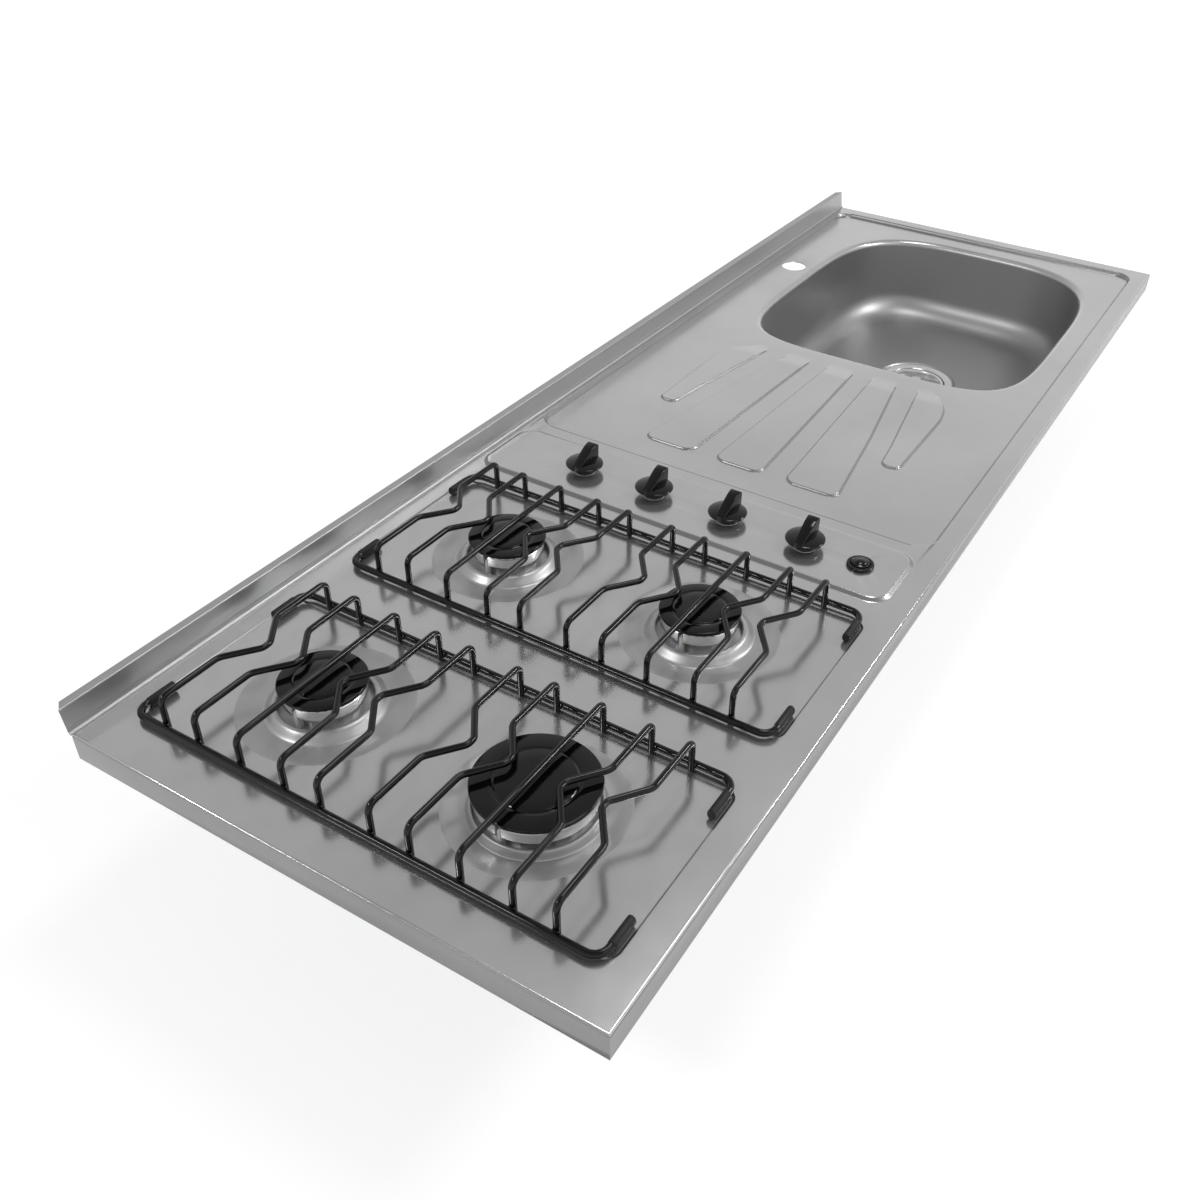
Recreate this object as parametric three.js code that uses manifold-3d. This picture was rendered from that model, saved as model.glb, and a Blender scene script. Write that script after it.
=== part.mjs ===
// Pressed steel kitchenette worktop with a four-burner gas hob, a draining board and a sink bowl.
// Millimetres, +Z up. X runs from the hob end to the sink end, Y from the front edge to the wall.
// Origin: middle of the rear channel's underside, in the plane where the worktop rests on its cabinet.

import * as THREE from 'three';
import { mergeVertices } from 'three/addons/utils/BufferGeometryUtils.js';
import Module from 'manifold-3d';

const wasm = await Module();
wasm.setup();

// ---------------------------------------------------------------- driving dimensions

// Pressed sheet
const TOP_LENGTH = 1500;
const TOP_DEPTH = 517;
const APRON_HEIGHT = 25;
const STEEL = 1;
const FOLD_RADIUS = 2.5;
const GAP = 0.3; // clearance where one piece seats on another
const RUNNING_GAP = 0.4; // clearance of a sliding or turning piece

// Upstand along the wall
const UPSTAND_HEIGHT = 24;
const UPSTAND_LEAN = 2.5;
const UPSTAND_COVE = 3;
const UPSTAND_RETURN = 9.5;
const UPSTAND_MITRE = 7;
const UPSTAND_HEM = 12;

// Stiffening channels
const CHANNEL_WIDTH = 15;
const CHANNEL_STEEL = 1.5;
const CHANNEL_WALL_SETBACK = 2; // rear channel's back face to the wall plane
const REAR_CHANNEL_INSET = 14; // its ends to the worktop's ends

// Hob
const HOB_CENTRE_X = 260; // from the hob end
const BURNER_PITCH_X = 248;
const FRONT_BURNER_Y = 152; // from the front edge
const REAR_BURNER_BACK = 154; // from the wall plane
const HOB_PANEL_WIDTH = 182;
const HOB_PANEL_FRONT = 27;
const HOB_PANEL_BACK = 32;
const HOB_PANEL_DEPTH = 0.8;
const HOB_PANEL_SLOPE = 2.5;
const HOB_PANEL_RADIUS = 12;

// Dish pressed round each burner
const DISH_RADIUS = 73;
const DISH_DEPTH = 1.8;
const DISH_SLOPE = 14.5;
const SHOULDER_RISE = 5.8; // above the hob panel
const LARGE_SHOULDER_WIDTH = 4.5; // foot to crest
const SMALL_SHOULDER_WIDTH = 11;
const CREST_LIP = 1.5;

// Burners
const LARGE_RING_RADIUS = 48;
const SMALL_RING_RADIUS = 34.5;
const LARGE_CREST_RADIUS = 50;
const SMALL_CREST_RADIUS = 40.5;
const RING_LIFT = 9.8; // hob panel to underside of ring
const RING_HEIGHT = 10.5;
const RING_WALL = 12;
const SPIGOT_DEPTH = 4;
const SPIGOT_WALL = 2.2;
const CAP_OVERHANG = 2.4;
const CAP_RIM_HEIGHT = 2.7;
const CAP_DISC_HEIGHT = 2;
const CAP_DISC_SHARE = 0.63;
const CUP_WALL = 2.5;
const CUP_FLANGE = 2;
const CUP_FLANGE_REACH = 4; // past the shoulder's foot
const CUP_DEPTH = 33.7; // rim to bottom
const CUP_INLET_RADIUS = 3;
const ELECTRODE_RADIUS = 2.5;
const ELECTRODE_INSET = 3; // axis to the ring's outer wall
const ELECTRODE_COLLAR = 1.5;
const ELECTRODE_LENGTH = 34;
const ELECTRODE_BELOW_RING_TOP = 3.5;
const ELECTRODE_TIP = 2;

// Pan supports
const GRATE_WIDTH = 190; // rail axis to rail axis
const GRATE_FRONT = 34;
const GRATE_BACK = 40;
const RAIL_RADIUS = 3.2;
const RAIL_AXIS_HEIGHT = 6; // above the hob panel
const RAIL_CORNER = 12;
const RAIL_STUB = 38;
const SLEEVE_LENGTH = 26;
const SLEEVE_END_WALL = 1.5;
const BAR_RADIUS = 2.8;
const BAR_AXIS_HEIGHT = 33.8;
const BAR_LEG_INSET = 4.2;
const BAR_LEG_BELOW_RAIL = 3;
const BAR_BEND = 8;
const BAR_PITCH = 45; // on each side of the bar over a burner's centre
const MIDDLE_BAR_OFFSET = 81; // from a burner's centre towards the other burner
const FRONT_BAR_INSET = 37; // from the rails' front ends
const REAR_BAR_INSET = 33; // from the rails' rear ends
const BAR_JOG = 21;
const JOG_HALF_WIDTH = 32;
const JOG_HALF_FLAT = 4;

// Knob panel and gas taps
const KNOB_PANEL_CENTRE_X = 552.5;
const KNOB_PANEL_WIDTH = 97;
const KNOB_PANEL_FRONT = 23;
const KNOB_PANEL_BACK = 20;
const KNOB_PANEL_RISE = 3;
const KNOB_PANEL_SLOPE = 7;
const KNOB_PANEL_RADIUS = 22;
const FIRST_KNOB_Y = 127.5;
const LAST_KNOB_BACK = 130;
const KNOB_TRAVEL = 2.5;
const KNOB_HUB_RADIUS = 11;
const KNOB_SKIRT_RADIUS = 20;
const KNOB_SKIRT_HEIGHT = 6; // hub to the skirt's widest circle
const KNOB_DOME = 3.3;
const KNOB_BORE_DEPTH = 13;
const GRIP_WIDTH = 12.4;
const GRIP_PROFILE = [
  [-18, 4], [-18, 8], [-16, 9.6], [0, 18], [14.5, 23.2], [17.6, 22.9], [18.8, 21], [18.2, 4],
];
const STEM_RADIUS = 4;
const STEM_FLAT = 1.2; // depth of the flat on the stem
const STEM_ABOVE_PANEL = 13;
const STEM_LENGTH = 34;
const TAP_RADIUS = 12;
const TAP_BUSH_RADIUS = 8;
const TAP_COLLAR_RADIUS = 11;
const TAP_COLLAR_HEIGHT = 0.5;
const TAP_BOTTOM = -10;
const TAP_OUTLET_RADIUS = 6;
const TAP_OUTLET_REACH = 20;
const TAP_OUTLET_Z = -2;
const MANIFOLD_SIZE = 16;
const MANIFOLD_BORE = 5;
const MANIFOLD_END_MARGIN = 22; // past the first tap
const PIPE_RADIUS = 4;
const PIPE_BORE = 2.5;
const PIPE_RUN_Z = -16;
const PIPE_BEND = 8;
const PIPE_SWERVE = 56; // from the burner's axis to where its pipe turns aside
const INLET_RADIUS = 8;
const INLET_BORE = 5.5;
const INLET_BEND = 14;
const INLET_REACH = 20;
const INLET_BACK = 49.7;
const INLET_BOTTOM = -60;

// Ignition button
const BUTTON_Y = 68;
const BUTTON_RADIUS = 9;
const BUTTON_TRAVEL = 2.5;
const BUTTON_ABOVE_BEZEL = 1;
const BUTTON_DOME = 2;
const BEZEL_RADIUS = 13.5;
const BEZEL_HEIGHT = 3;
const BEZEL_SPIGOT_RADIUS = 11;
const BEZEL_SPIGOT_BOTTOM = 14;
const MODULE_LENGTH = 44;
const MODULE_WIDTH = 30;
const MODULE_HEIGHT = 20;

// Tray under the hob
const TRAY_HOB_END = 20;
const TRAY_SINK_END = 614;
const TRAY_FRONT = 20;
const TRAY_BACK = 19;
const TRAY_FLOOR = -36;
const TRAY_RIM = 6;
const TRAY_SLOT_COUNT = 5;
const TRAY_SLOT_PITCH = 18;
const TRAY_SLOT_LENGTH = 60;
const TRAY_SLOT_WIDTH = 6;

// Draining board
const BOARD_HOB_END = 616;
const BOARD_END_MARGIN = 20; // to the sink end
const BOARD_FRONT = 19;
const BOARD_BACK = 18;
const BOARD_DEPTH = 4;
const BOARD_SLOPE = 4;
const BOARD_RADIUS = 27;
const PAD_RISE = 1.5;
const PAD_SLOPE = 3;
const PAD_AXIS_Y = 260; // the raised pads are mirrored about this line
const PAD_CORNER = 14;
const PAD_START = 44; // from the board's hob end
const PAD_END = 28; // to the bowl

// Sink bowl
const BOWL_END_MARGIN = 63; // to the sink end
const BOWL_LENGTH = 454;
const BOWL_FRONT = 55;
const BOWL_BACK = 89;
const BOWL_NEAR_EXPONENT = 5;
const BOWL_FAR_EXPONENT = 3.4;
const BOWL_DEPTH = 118;
const BOWL_DRAFT = 0.1; // inward run of the wall for each millimetre of depth
const BOWL_LIP_RADIUS = 8;
const BOWL_FLANGE = 5;
const BOWL_FILLET = 38;
const BOWL_FALL = 2; // fall of the floor towards the drain

// Tap hole and waste
const TAP_HOLE_ASIDE = 16; // from the bowl's middle
const TAP_HOLE_BACK = 56;
const TAP_HOLE_RADIUS = 17.5;
const SEAT_RADIUS = 54;
const SEAT_DEPTH = 2.5;
const DRAIN_HOLE_RADIUS = 44;
const FLANGE_RADIUS = 52;
const FLANGE_THICKNESS = 1.5;
const SHANK_RADIUS = 42.5;
const SHANK_WALL = 1.5;
const SHANK_DEPTH = 38;
const SHANK_OUTLET_RADIUS = 22;
const SEAL_THICKNESS = 3;
const BODY_WALL = 2;
const BODY_RIM_RADIUS = 52;
const BODY_RIM_THICKNESS = 4;
const OUTLET_RADIUS = 20;
const OUTLET_BORE = 17.5;
const OUTLET_LENGTH = 30;
const BASKET_RIM_RADIUS = 39.5;
const BASKET_TOP_RADIUS = 36;
const BASKET_BOTTOM_RADIUS = 29;
const BASKET_STEEL = 1.5;
const BASKET_POST_RADIUS = 3;
const BASKET_KNOB_RADIUS = 7;
const BASKET_KNOB_HEIGHT = 4;
const BASKET_KNOB_ABOVE_RIM = 2;
const BASKET_RIM_BELOW_SEAT = 1;

// Facets
const CORNER_STEPS = 3;
const DISH_SEGMENTS = 20;
const BURNER_SEGMENTS = 20;
const HIDDEN_SEGMENTS = 16;
const SMALL_SEGMENTS = 12;
const BOWL_SEGMENTS = 32;
const WIRE_SIDES = 6;
const SMALL_SIDES = 8;

// ---------------------------------------------------------------- places worked out from them

const X_HOB_END = -TOP_LENGTH / 2;
const X_SINK_END = TOP_LENGTH / 2;
const Y_WALL = CHANNEL_WIDTH / 2 + CHANNEL_WALL_SETBACK;
const Y_FRONT = Y_WALL - TOP_DEPTH;
const Y_UPSTAND = Y_WALL - UPSTAND_RETURN - UPSTAND_LEAN;
const Z_TOP = APRON_HEIGHT;
const Z_UNDER = Z_TOP - STEEL;
const Z_HOB = Z_TOP - HOB_PANEL_DEPTH;
const Z_DISH = Z_HOB - DISH_DEPTH;
const Z_CREST = Z_HOB + SHOULDER_RISE;
const Z_KNOB_PANEL = Z_TOP + KNOB_PANEL_RISE;
const Z_BOARD = Z_TOP - BOARD_DEPTH;
const Z_BOWL = Z_BOARD - BOWL_DEPTH;
const Z_SEAT = Z_BOWL - SEAT_DEPTH;

const fromHobEnd = (x) => X_HOB_END + x;
const fromFront = (y) => Y_FRONT + y;
const fromWall = (y) => Y_WALL - y;

const BURNER_COLUMNS = [HOB_CENTRE_X - BURNER_PITCH_X / 2, HOB_CENTRE_X + BURNER_PITCH_X / 2].map(fromHobEnd);
const BURNER_ROWS = [fromFront(FRONT_BURNER_Y), fromWall(REAR_BURNER_BACK)];
const KNOB_X = fromHobEnd(KNOB_PANEL_CENTRE_X);
const KNOB_PITCH = (fromWall(LAST_KNOB_BACK) - fromFront(FIRST_KNOB_Y)) / 3;
const KNOB_ROWS = [0, 1, 2, 3].map((i) => fromFront(FIRST_KNOB_Y) + i * KNOB_PITCH);
const BOWL_HALF_LENGTH = BOWL_LENGTH / 2;
const BOWL_HALF_WIDTH = (TOP_DEPTH - BOWL_FRONT - BOWL_BACK) / 2;
const BOWL_CENTRE = [
  X_SINK_END - BOWL_END_MARGIN - BOWL_HALF_LENGTH, fromFront(BOWL_FRONT) + BOWL_HALF_WIDTH,
];

// Burners in the order of the knobs that feed them, from the front knob to the rear one
const LARGE_BURNER = { ring: LARGE_RING_RADIUS, crest: LARGE_CREST_RADIUS, shoulder: LARGE_SHOULDER_WIDTH };
const SMALL_BURNER = { ring: SMALL_RING_RADIUS, crest: SMALL_CREST_RADIUS, shoulder: SMALL_SHOULDER_WIDTH };
const BURNERS = [
  { x: BURNER_COLUMNS[0], y: BURNER_ROWS[0], ...LARGE_BURNER },
  { x: BURNER_COLUMNS[1], y: BURNER_ROWS[0], ...SMALL_BURNER },
  { x: BURNER_COLUMNS[1], y: BURNER_ROWS[1], ...SMALL_BURNER },
  { x: BURNER_COLUMNS[0], y: BURNER_ROWS[1], ...SMALL_BURNER },
];

// ---------------------------------------------------------------- materials

const finish = (color, roughness, metalness) => new THREE.MeshStandardMaterial({
  color, roughness, metalness, flatShading: true,
});
const metal = (color, roughness) => finish(color, roughness, 1);
const plain = (color, roughness) => finish(color, roughness, 0);

const steel = metal(0xb4b6b8, 0.35);
const galvanised = metal(0x9a9da0, 0.5);
const aluminium = metal(0xc9cacc, 0.4);
const brass = metal(0xb08d4a, 0.4);
const enamel = plain(0x0b0b0c, 0.2);
const blackPlastic = plain(0x101012, 0.3);
const ceramic = plain(0xece8de, 0.35);
const rubber = plain(0x1a1a1a, 0.8);
const greyPlastic = plain(0x8b8d90, 0.5);

// ---------------------------------------------------------------- geometry helpers

// Shared vertices joined and collapsed triangles dropped, so that the surface is one closed mesh
function weld(geometry) {
  const bare = geometry.clone();
  bare.deleteAttribute('normal');
  bare.deleteAttribute('uv');
  const merged = mergeVertices(bare, 1e-4);
  const index = merged.getIndex().array;
  const kept = [];
  for (let i = 0; i < index.length; i += 3) {
    const [a, b, c] = [index[i], index[i + 1], index[i + 2]];
    if (a !== b && b !== c && c !== a) kept.push(a, b, c);
  }
  merged.setIndex(kept);
  return faceOutwards(merged);
}

// Turns the triangles over where they enclose a negative volume
function faceOutwards(geometry) {
  const position = geometry.getAttribute('position');
  const index = geometry.getIndex().array;
  const corner = (i) => new THREE.Vector3().fromBufferAttribute(position, index[i]);
  let volume = 0;
  for (let i = 0; i < index.length; i += 3) volume += corner(i).dot(corner(i + 1).cross(corner(i + 2)));
  if (volume < 0) geometry.setIndex(Array.from(index).reverse());
  return geometry;
}

function solid(geometry) {
  const mesh = weld(geometry);
  return new wasm.Manifold(new wasm.Mesh({
    numProp: 3,
    vertProperties: new Float32Array(mesh.getAttribute('position').array),
    triVerts: new Uint32Array(mesh.getIndex().array),
  }));
}

function surface(manifold) {
  const mesh = manifold.getMesh();
  const geometry = new THREE.BufferGeometry();
  geometry.setAttribute('position', new THREE.BufferAttribute(new Float32Array(mesh.vertProperties), 3));
  geometry.setIndex(Array.from(mesh.triVerts));
  return geometry;
}

const shapeOf = (points) => new THREE.Shape(points.map(([x, y]) => new THREE.Vector2(x, y)));

// Straight prisms: an outline in (x, y) raised along Z, in (y, z) along X, or in (x, z) along Y
function prismUp(points, zLow, zHigh) {
  const prism = new THREE.ExtrudeGeometry(shapeOf(points), { depth: zHigh - zLow, bevelEnabled: false });
  return prism.translate(0, 0, zLow);
}

function prismAlongX(points, xLow, xHigh) {
  const turn = new THREE.Matrix4().makeBasis(
    new THREE.Vector3(0, 1, 0), new THREE.Vector3(0, 0, 1), new THREE.Vector3(1, 0, 0));
  const prism = new THREE.ExtrudeGeometry(shapeOf(points), { depth: xHigh - xLow, bevelEnabled: false });
  return prism.applyMatrix4(turn).translate(xLow, 0, 0);
}

function prismAlongY(points, yLow, yHigh) {
  const prism = new THREE.ExtrudeGeometry(shapeOf(points), { depth: yHigh - yLow, bevelEnabled: false });
  return prism.rotateX(Math.PI / 2).translate(0, yHigh, 0);
}

function box(xLow, xHigh, yLow, yHigh, zLow, zHigh) {
  const block = new THREE.BoxGeometry(xHigh - xLow, yHigh - yLow, zHigh - zLow);
  return block.translate((xLow + xHigh) / 2, (yLow + yHigh) / 2, (zLow + zHigh) / 2);
}

// A closed profile, or one that starts and ends on the axis, turned about Z
function turned(profile, segments, x = 0, y = 0) {
  const points = profile.map(([r, z]) => new THREE.Vector2(r, z));
  if (profile[0][0] > 0) points.push(points[0].clone());
  return weld(new THREE.LatheGeometry(points, segments).rotateX(Math.PI / 2)).translate(x, y, 0);
}

function cylinder(radius, zLow, zHigh, x, y, segments = SMALL_SEGMENTS) {
  return turned([[0, zLow], [radius, zLow], [radius, zHigh], [0, zHigh]], segments, x, y);
}

// Points on an arc about (x, y), angles in degrees
function arc(x, y, radius, from, to, steps) {
  return Array.from({ length: steps + 1 }, (_, i) => {
    const angle = THREE.MathUtils.degToRad(from + ((to - from) * i) / steps);
    return [x + radius * Math.cos(angle), y + radius * Math.sin(angle)];
  });
}

function roundedRectangle(xLow, xHigh, yLow, yHigh, radius) {
  return [
    ...arc(xHigh - radius, yLow + radius, radius, -90, 0, CORNER_STEPS),
    ...arc(xHigh - radius, yHigh - radius, radius, 0, 90, CORNER_STEPS),
    ...arc(xLow + radius, yHigh - radius, radius, 90, 180, CORNER_STEPS),
    ...arc(xLow + radius, yLow + radius, radius, 180, 270, CORNER_STEPS),
  ];
}

// Moves a polyline sideways to its left by a distance, with mitred corners
function offsetLeft(points, distance, closed) {
  const count = points.length;
  const direction = (i) => {
    const [a, b] = [points[(i + count) % count], points[(i + 1) % count]];
    return new THREE.Vector2(b[0] - a[0], b[1] - a[1]).normalize();
  };
  return points.map(([x, y], i) => {
    const before = closed || i > 0 ? direction(i - 1) : direction(i);
    const after = closed || i < count - 1 ? direction(i) : before;
    const mitre = before.clone().add(after).normalize();
    const reach = distance / mitre.dot(before);
    return [x - mitre.y * reach, y + mitre.x * reach];
  });
}

// A folded strip: the polyline and its copy one gauge to the left, as one closed outline
const folded = (points, gauge) => [...points, ...offsetLeft(points, gauge, false).reverse()];

// A skin through rings of equal point counts, closed by caps or back onto its first ring
function loft(rings, closed = false) {
  const count = rings[0].length;
  const positions = rings.flat(2);
  const index = [];
  const stages = closed ? rings.length : rings.length - 1;
  for (let s = 0; s < stages; s++) {
    const low = s * count;
    const high = ((s + 1) % rings.length) * count;
    for (let i = 0; i < count; i++) {
      const next = (i + 1) % count;
      index.push(low + i, low + next, high + next, low + i, high + next, high + i);
    }
  }
  if (!closed) {
    const outline = rings[0].map(([x, y]) => new THREE.Vector2(x, y));
    const top = (rings.length - 1) * count;
    for (const [a, b, c] of THREE.ShapeUtils.triangulateShape(outline, [])) {
      index.push(c, b, a, top + a, top + b, top + c);
    }
  }
  const geometry = new THREE.BufferGeometry();
  geometry.setAttribute('position', new THREE.Float32BufferAttribute(positions, 3));
  geometry.setIndex(index);
  return faceOutwards(geometry);
}

const atHeight = (points, z) => points.map(([x, y]) => [x, y, z]);

// A path through hand-placed vertices, so that every ring of a tube lands on a vertex
class WirePath extends THREE.Curve {
  constructor(vertices) {
    super();
    this.vertices = vertices;
  }

  getPointAt(u) {
    return this.vertices[Math.round(u * (this.vertices.length - 1))].clone();
  }

  getTangentAt(u) {
    const i = Math.round(u * (this.vertices.length - 1));
    const tangent = new THREE.Vector3();
    if (i > 0) tangent.add(this.vertices[i].clone().sub(this.vertices[i - 1]).normalize());
    if (i < this.vertices.length - 1) {
      tangent.add(this.vertices[i + 1].clone().sub(this.vertices[i]).normalize());
    }
    return tangent.normalize();
  }
}

// Vertices of a route with rounded corners: each corner is [x, y, z, radius]
function route(corners, steps = 3) {
  const vertices = [];
  corners.forEach(([x, y, z, radius = 0], i) => {
    const here = new THREE.Vector3(x, y, z);
    if (!radius || i === 0 || i === corners.length - 1) {
      vertices.push(here);
      return;
    }
    const arriving = here.clone().sub(new THREE.Vector3(...corners[i - 1].slice(0, 3))).normalize();
    const leaving = new THREE.Vector3(...corners[i + 1].slice(0, 3)).sub(here).normalize();
    const turn = arriving.angleTo(leaving);
    const side = leaving.clone().addScaledVector(arriving, -leaving.dot(arriving)).normalize();
    const start = here.clone().addScaledVector(arriving, -radius * Math.tan(turn / 2));
    for (let k = 0; k <= steps; k++) {
      const angle = (turn * k) / steps;
      vertices.push(start.clone()
        .addScaledVector(arriving, radius * Math.sin(angle))
        .addScaledVector(side, radius * (1 - Math.cos(angle))));
    }
  });
  return vertices;
}

function tube(vertices, radius, sides, bore = 0) {
  const section = shapeOf(arc(0, 0, radius, 0, 360 - 360 / sides, sides - 1));
  if (bore) section.holes.push(new THREE.Path(arc(0, 0, bore, 0, 360 - 360 / sides, sides - 1).reverse()
    .map(([x, y]) => new THREE.Vector2(x, y))));
  const options = { steps: vertices.length - 1, extrudePath: new WirePath(vertices), bevelEnabled: false };
  return new THREE.ExtrudeGeometry(section, options);
}

// ---------------------------------------------------------------- assembly

const kitchenette = new THREE.Group();

function place(name, geometry, material, x = 0, y = 0) {
  const mesh = new THREE.Mesh(geometry, material);
  mesh.name = name;
  mesh.position.set(x, y, 0);
  kitchenette.add(mesh);
}

// ---------------------------------------------------------------- pressed sheet

// Presses a panel of a sheet up (rise > 0) or down (rise < 0). outline(inset) gives its drawn-in edge.
function press(sheet, outline, slope, zFace, rise) {
  const floor = zFace + rise;
  const cutEnd = rise > 0 ? zFace - 2 * STEEL : zFace + STEEL;
  const overlap = zFace - STEEL / 2;
  const drawn = (end, drop) => solid(loft([
    atHeight(outline(0), end), atHeight(outline(0), zFace - drop), atHeight(outline(slope), floor - drop)]));
  return rise > 0
    ? sheet.add(drawn(overlap, 0)).subtract(drawn(cutEnd, STEEL))
    : sheet.add(drawn(overlap, STEEL)).subtract(drawn(cutEnd, 0));
}

function panelOutline(xLow, xHigh, yLow, yHigh, radius) {
  return (inset) => roundedRectangle(
    xLow + inset, xHigh - inset, yLow + inset, yHigh - inset, radius - inset);
}

// The flat top with its front and end aprons: crossing folded profiles, mitred at the corners
function foldedTop() {
  const yBack = Y_UPSTAND + STEEL;
  const front = (inset, past) => [
    [Y_FRONT + inset, -past],
    ...arc(Y_FRONT + FOLD_RADIUS, Z_TOP - FOLD_RADIUS, FOLD_RADIUS - inset, 180, 90, 2),
    [yBack + past, Z_TOP - inset],
    [yBack + past, -past],
  ];
  const ends = (inset, past) => [
    [X_HOB_END + inset, -past],
    ...arc(X_HOB_END + FOLD_RADIUS, Z_TOP - FOLD_RADIUS, FOLD_RADIUS - inset, 180, 90, 2),
    ...arc(X_SINK_END - FOLD_RADIUS, Z_TOP - FOLD_RADIUS, FOLD_RADIUS - inset, 90, 0, 2),
    [X_SINK_END - inset, -past],
  ];
  const block = (inset, past) => solid(prismAlongX(front(inset, past), X_HOB_END, X_SINK_END))
    .intersect(solid(prismAlongY(ends(inset, past), Y_FRONT, yBack + past)));
  return block(0, 0).subtract(block(STEEL, STEEL));
}

// The upstand: hem, mitred return, leaning face and cove, one gauge thick
function upstand() {
  const zReturn = Z_TOP + UPSTAND_HEIGHT;
  const yFace = Y_UPSTAND + UPSTAND_LEAN;
  const profile = folded([
    [Y_WALL, zReturn - UPSTAND_HEM],
    [Y_WALL, zReturn],
    [yFace, zReturn],
    ...arc(Y_UPSTAND - UPSTAND_COVE, Z_TOP + UPSTAND_COVE, UPSTAND_COVE, 0, -90, 2),
    [Y_UPSTAND - 2 * UPSTAND_COVE, Z_TOP],
  ], STEEL);
  const plan = [
    [X_HOB_END, Y_UPSTAND - 3 * UPSTAND_COVE],
    [X_SINK_END, Y_UPSTAND - 3 * UPSTAND_COVE],
    [X_SINK_END, yFace],
    [X_SINK_END - UPSTAND_MITRE, Y_WALL],
    [X_HOB_END + UPSTAND_MITRE, Y_WALL],
    [X_HOB_END, yFace],
  ];
  return solid(prismAlongX(profile, X_HOB_END, X_SINK_END))
    .intersect(solid(prismUp(plan, Z_TOP - 2 * STEEL, zReturn + STEEL)));
}

// A dished ring that rises to a rounded shoulder round the burner hole
function burnerDish({ x, y, crest, shoulder }) {
  const foot = crest + shoulder;
  const hole = crest - CREST_LIP;
  const face = [
    [DISH_RADIUS + STEEL, Z_HOB],
    [DISH_RADIUS, Z_HOB],
    [Math.max(DISH_RADIUS - DISH_SLOPE, foot + STEEL), Z_DISH],
    [foot, Z_DISH],
    [crest + shoulder * 0.35, Z_DISH + (Z_CREST - Z_DISH) * 0.62],
    [crest, Z_CREST],
    [hole, Z_CREST - CREST_LIP],
  ];
  return solid(turned(folded(face, STEEL), DISH_SEGMENTS, x, y));
}

function bowlOutline(reach, z) {
  const power = (value, exponent) => Math.sign(value) * Math.abs(value) ** (2 / exponent);
  return Array.from({ length: BOWL_SEGMENTS }, (_, i) => {
    const angle = (2 * Math.PI * i) / BOWL_SEGMENTS;
    const [c, s] = [Math.cos(angle), Math.sin(angle)];
    const exponent = c < -1e-9 ? BOWL_NEAR_EXPONENT : BOWL_FAR_EXPONENT;
    return [
      BOWL_CENTRE[0] + (BOWL_HALF_LENGTH + reach) * power(c, exponent),
      BOWL_CENTRE[1] + (BOWL_HALF_WIDTH + reach) * power(s, exponent),
      z,
    ];
  });
}

// Quarter-round edge that the board turns down into the bowl, drop millimetres inside its top face
function lipRings(drop, steps) {
  const zAxis = Z_BOARD - BOWL_LIP_RADIUS;
  const rounded = arc(BOWL_LIP_RADIUS, zAxis, BOWL_LIP_RADIUS - drop, 90, 180, steps);
  return rounded.map(([reach, z]) => bowlOutline(reach, z));
}

function bowlLip() {
  const steps = 3;
  const face = (drop) => [bowlOutline(BOWL_LIP_RADIUS + STEEL, Z_BOARD - drop), ...lipRings(drop, steps)];
  return solid(loft([...face(0), ...face(STEEL).reverse()], true));
}

// Raised pads of the draining board. Each corner is its share of the pads' length, its distance from the
// mirror line and its radius.
function padOutlines() {
  const xStart = fromHobEnd(BOARD_HOB_END + PAD_START);
  const length = BOWL_CENTRE[0] - BOWL_HALF_LENGTH - PAD_END - xStart;
  const cornered = (points) => {
    const corners = points.map(([share, y, r]) => [xStart + share * length, fromFront(PAD_AXIS_Y) + y, 0, r]);
    return route([...corners, corners[0], corners[1]], 2).slice(1, -1).map(({ x, y }) => [x, y]);
  };
  const middle = cornered([[0.475, -26], [1, -18, 3], [1, 18, 3], [0.475, 26], [0, 30, PAD_CORNER],
    [0, -30, PAD_CORNER]]);
  const inner = cornered([[0.475, 48], [1, 41, 3], [1, 75, 3], [0.475, 101], [0, 122, PAD_CORNER],
    [0, 56, PAD_CORNER]]);
  const outer = cornered([[0.475, 126], [0.986, 101, 3], [1.017, 117, 3], [0.932, 140, 20], [0.814, 154, 30],
    [0.475, 154], [0.308, 154, 9], [0.308, 132, 9]]);
  const mirrored = (outline) => outline.map(([x, y]) => [x, 2 * fromFront(PAD_AXIS_Y) - y]).reverse();
  return [middle, inner, outer, mirrored(inner), mirrored(outer)];
}

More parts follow.
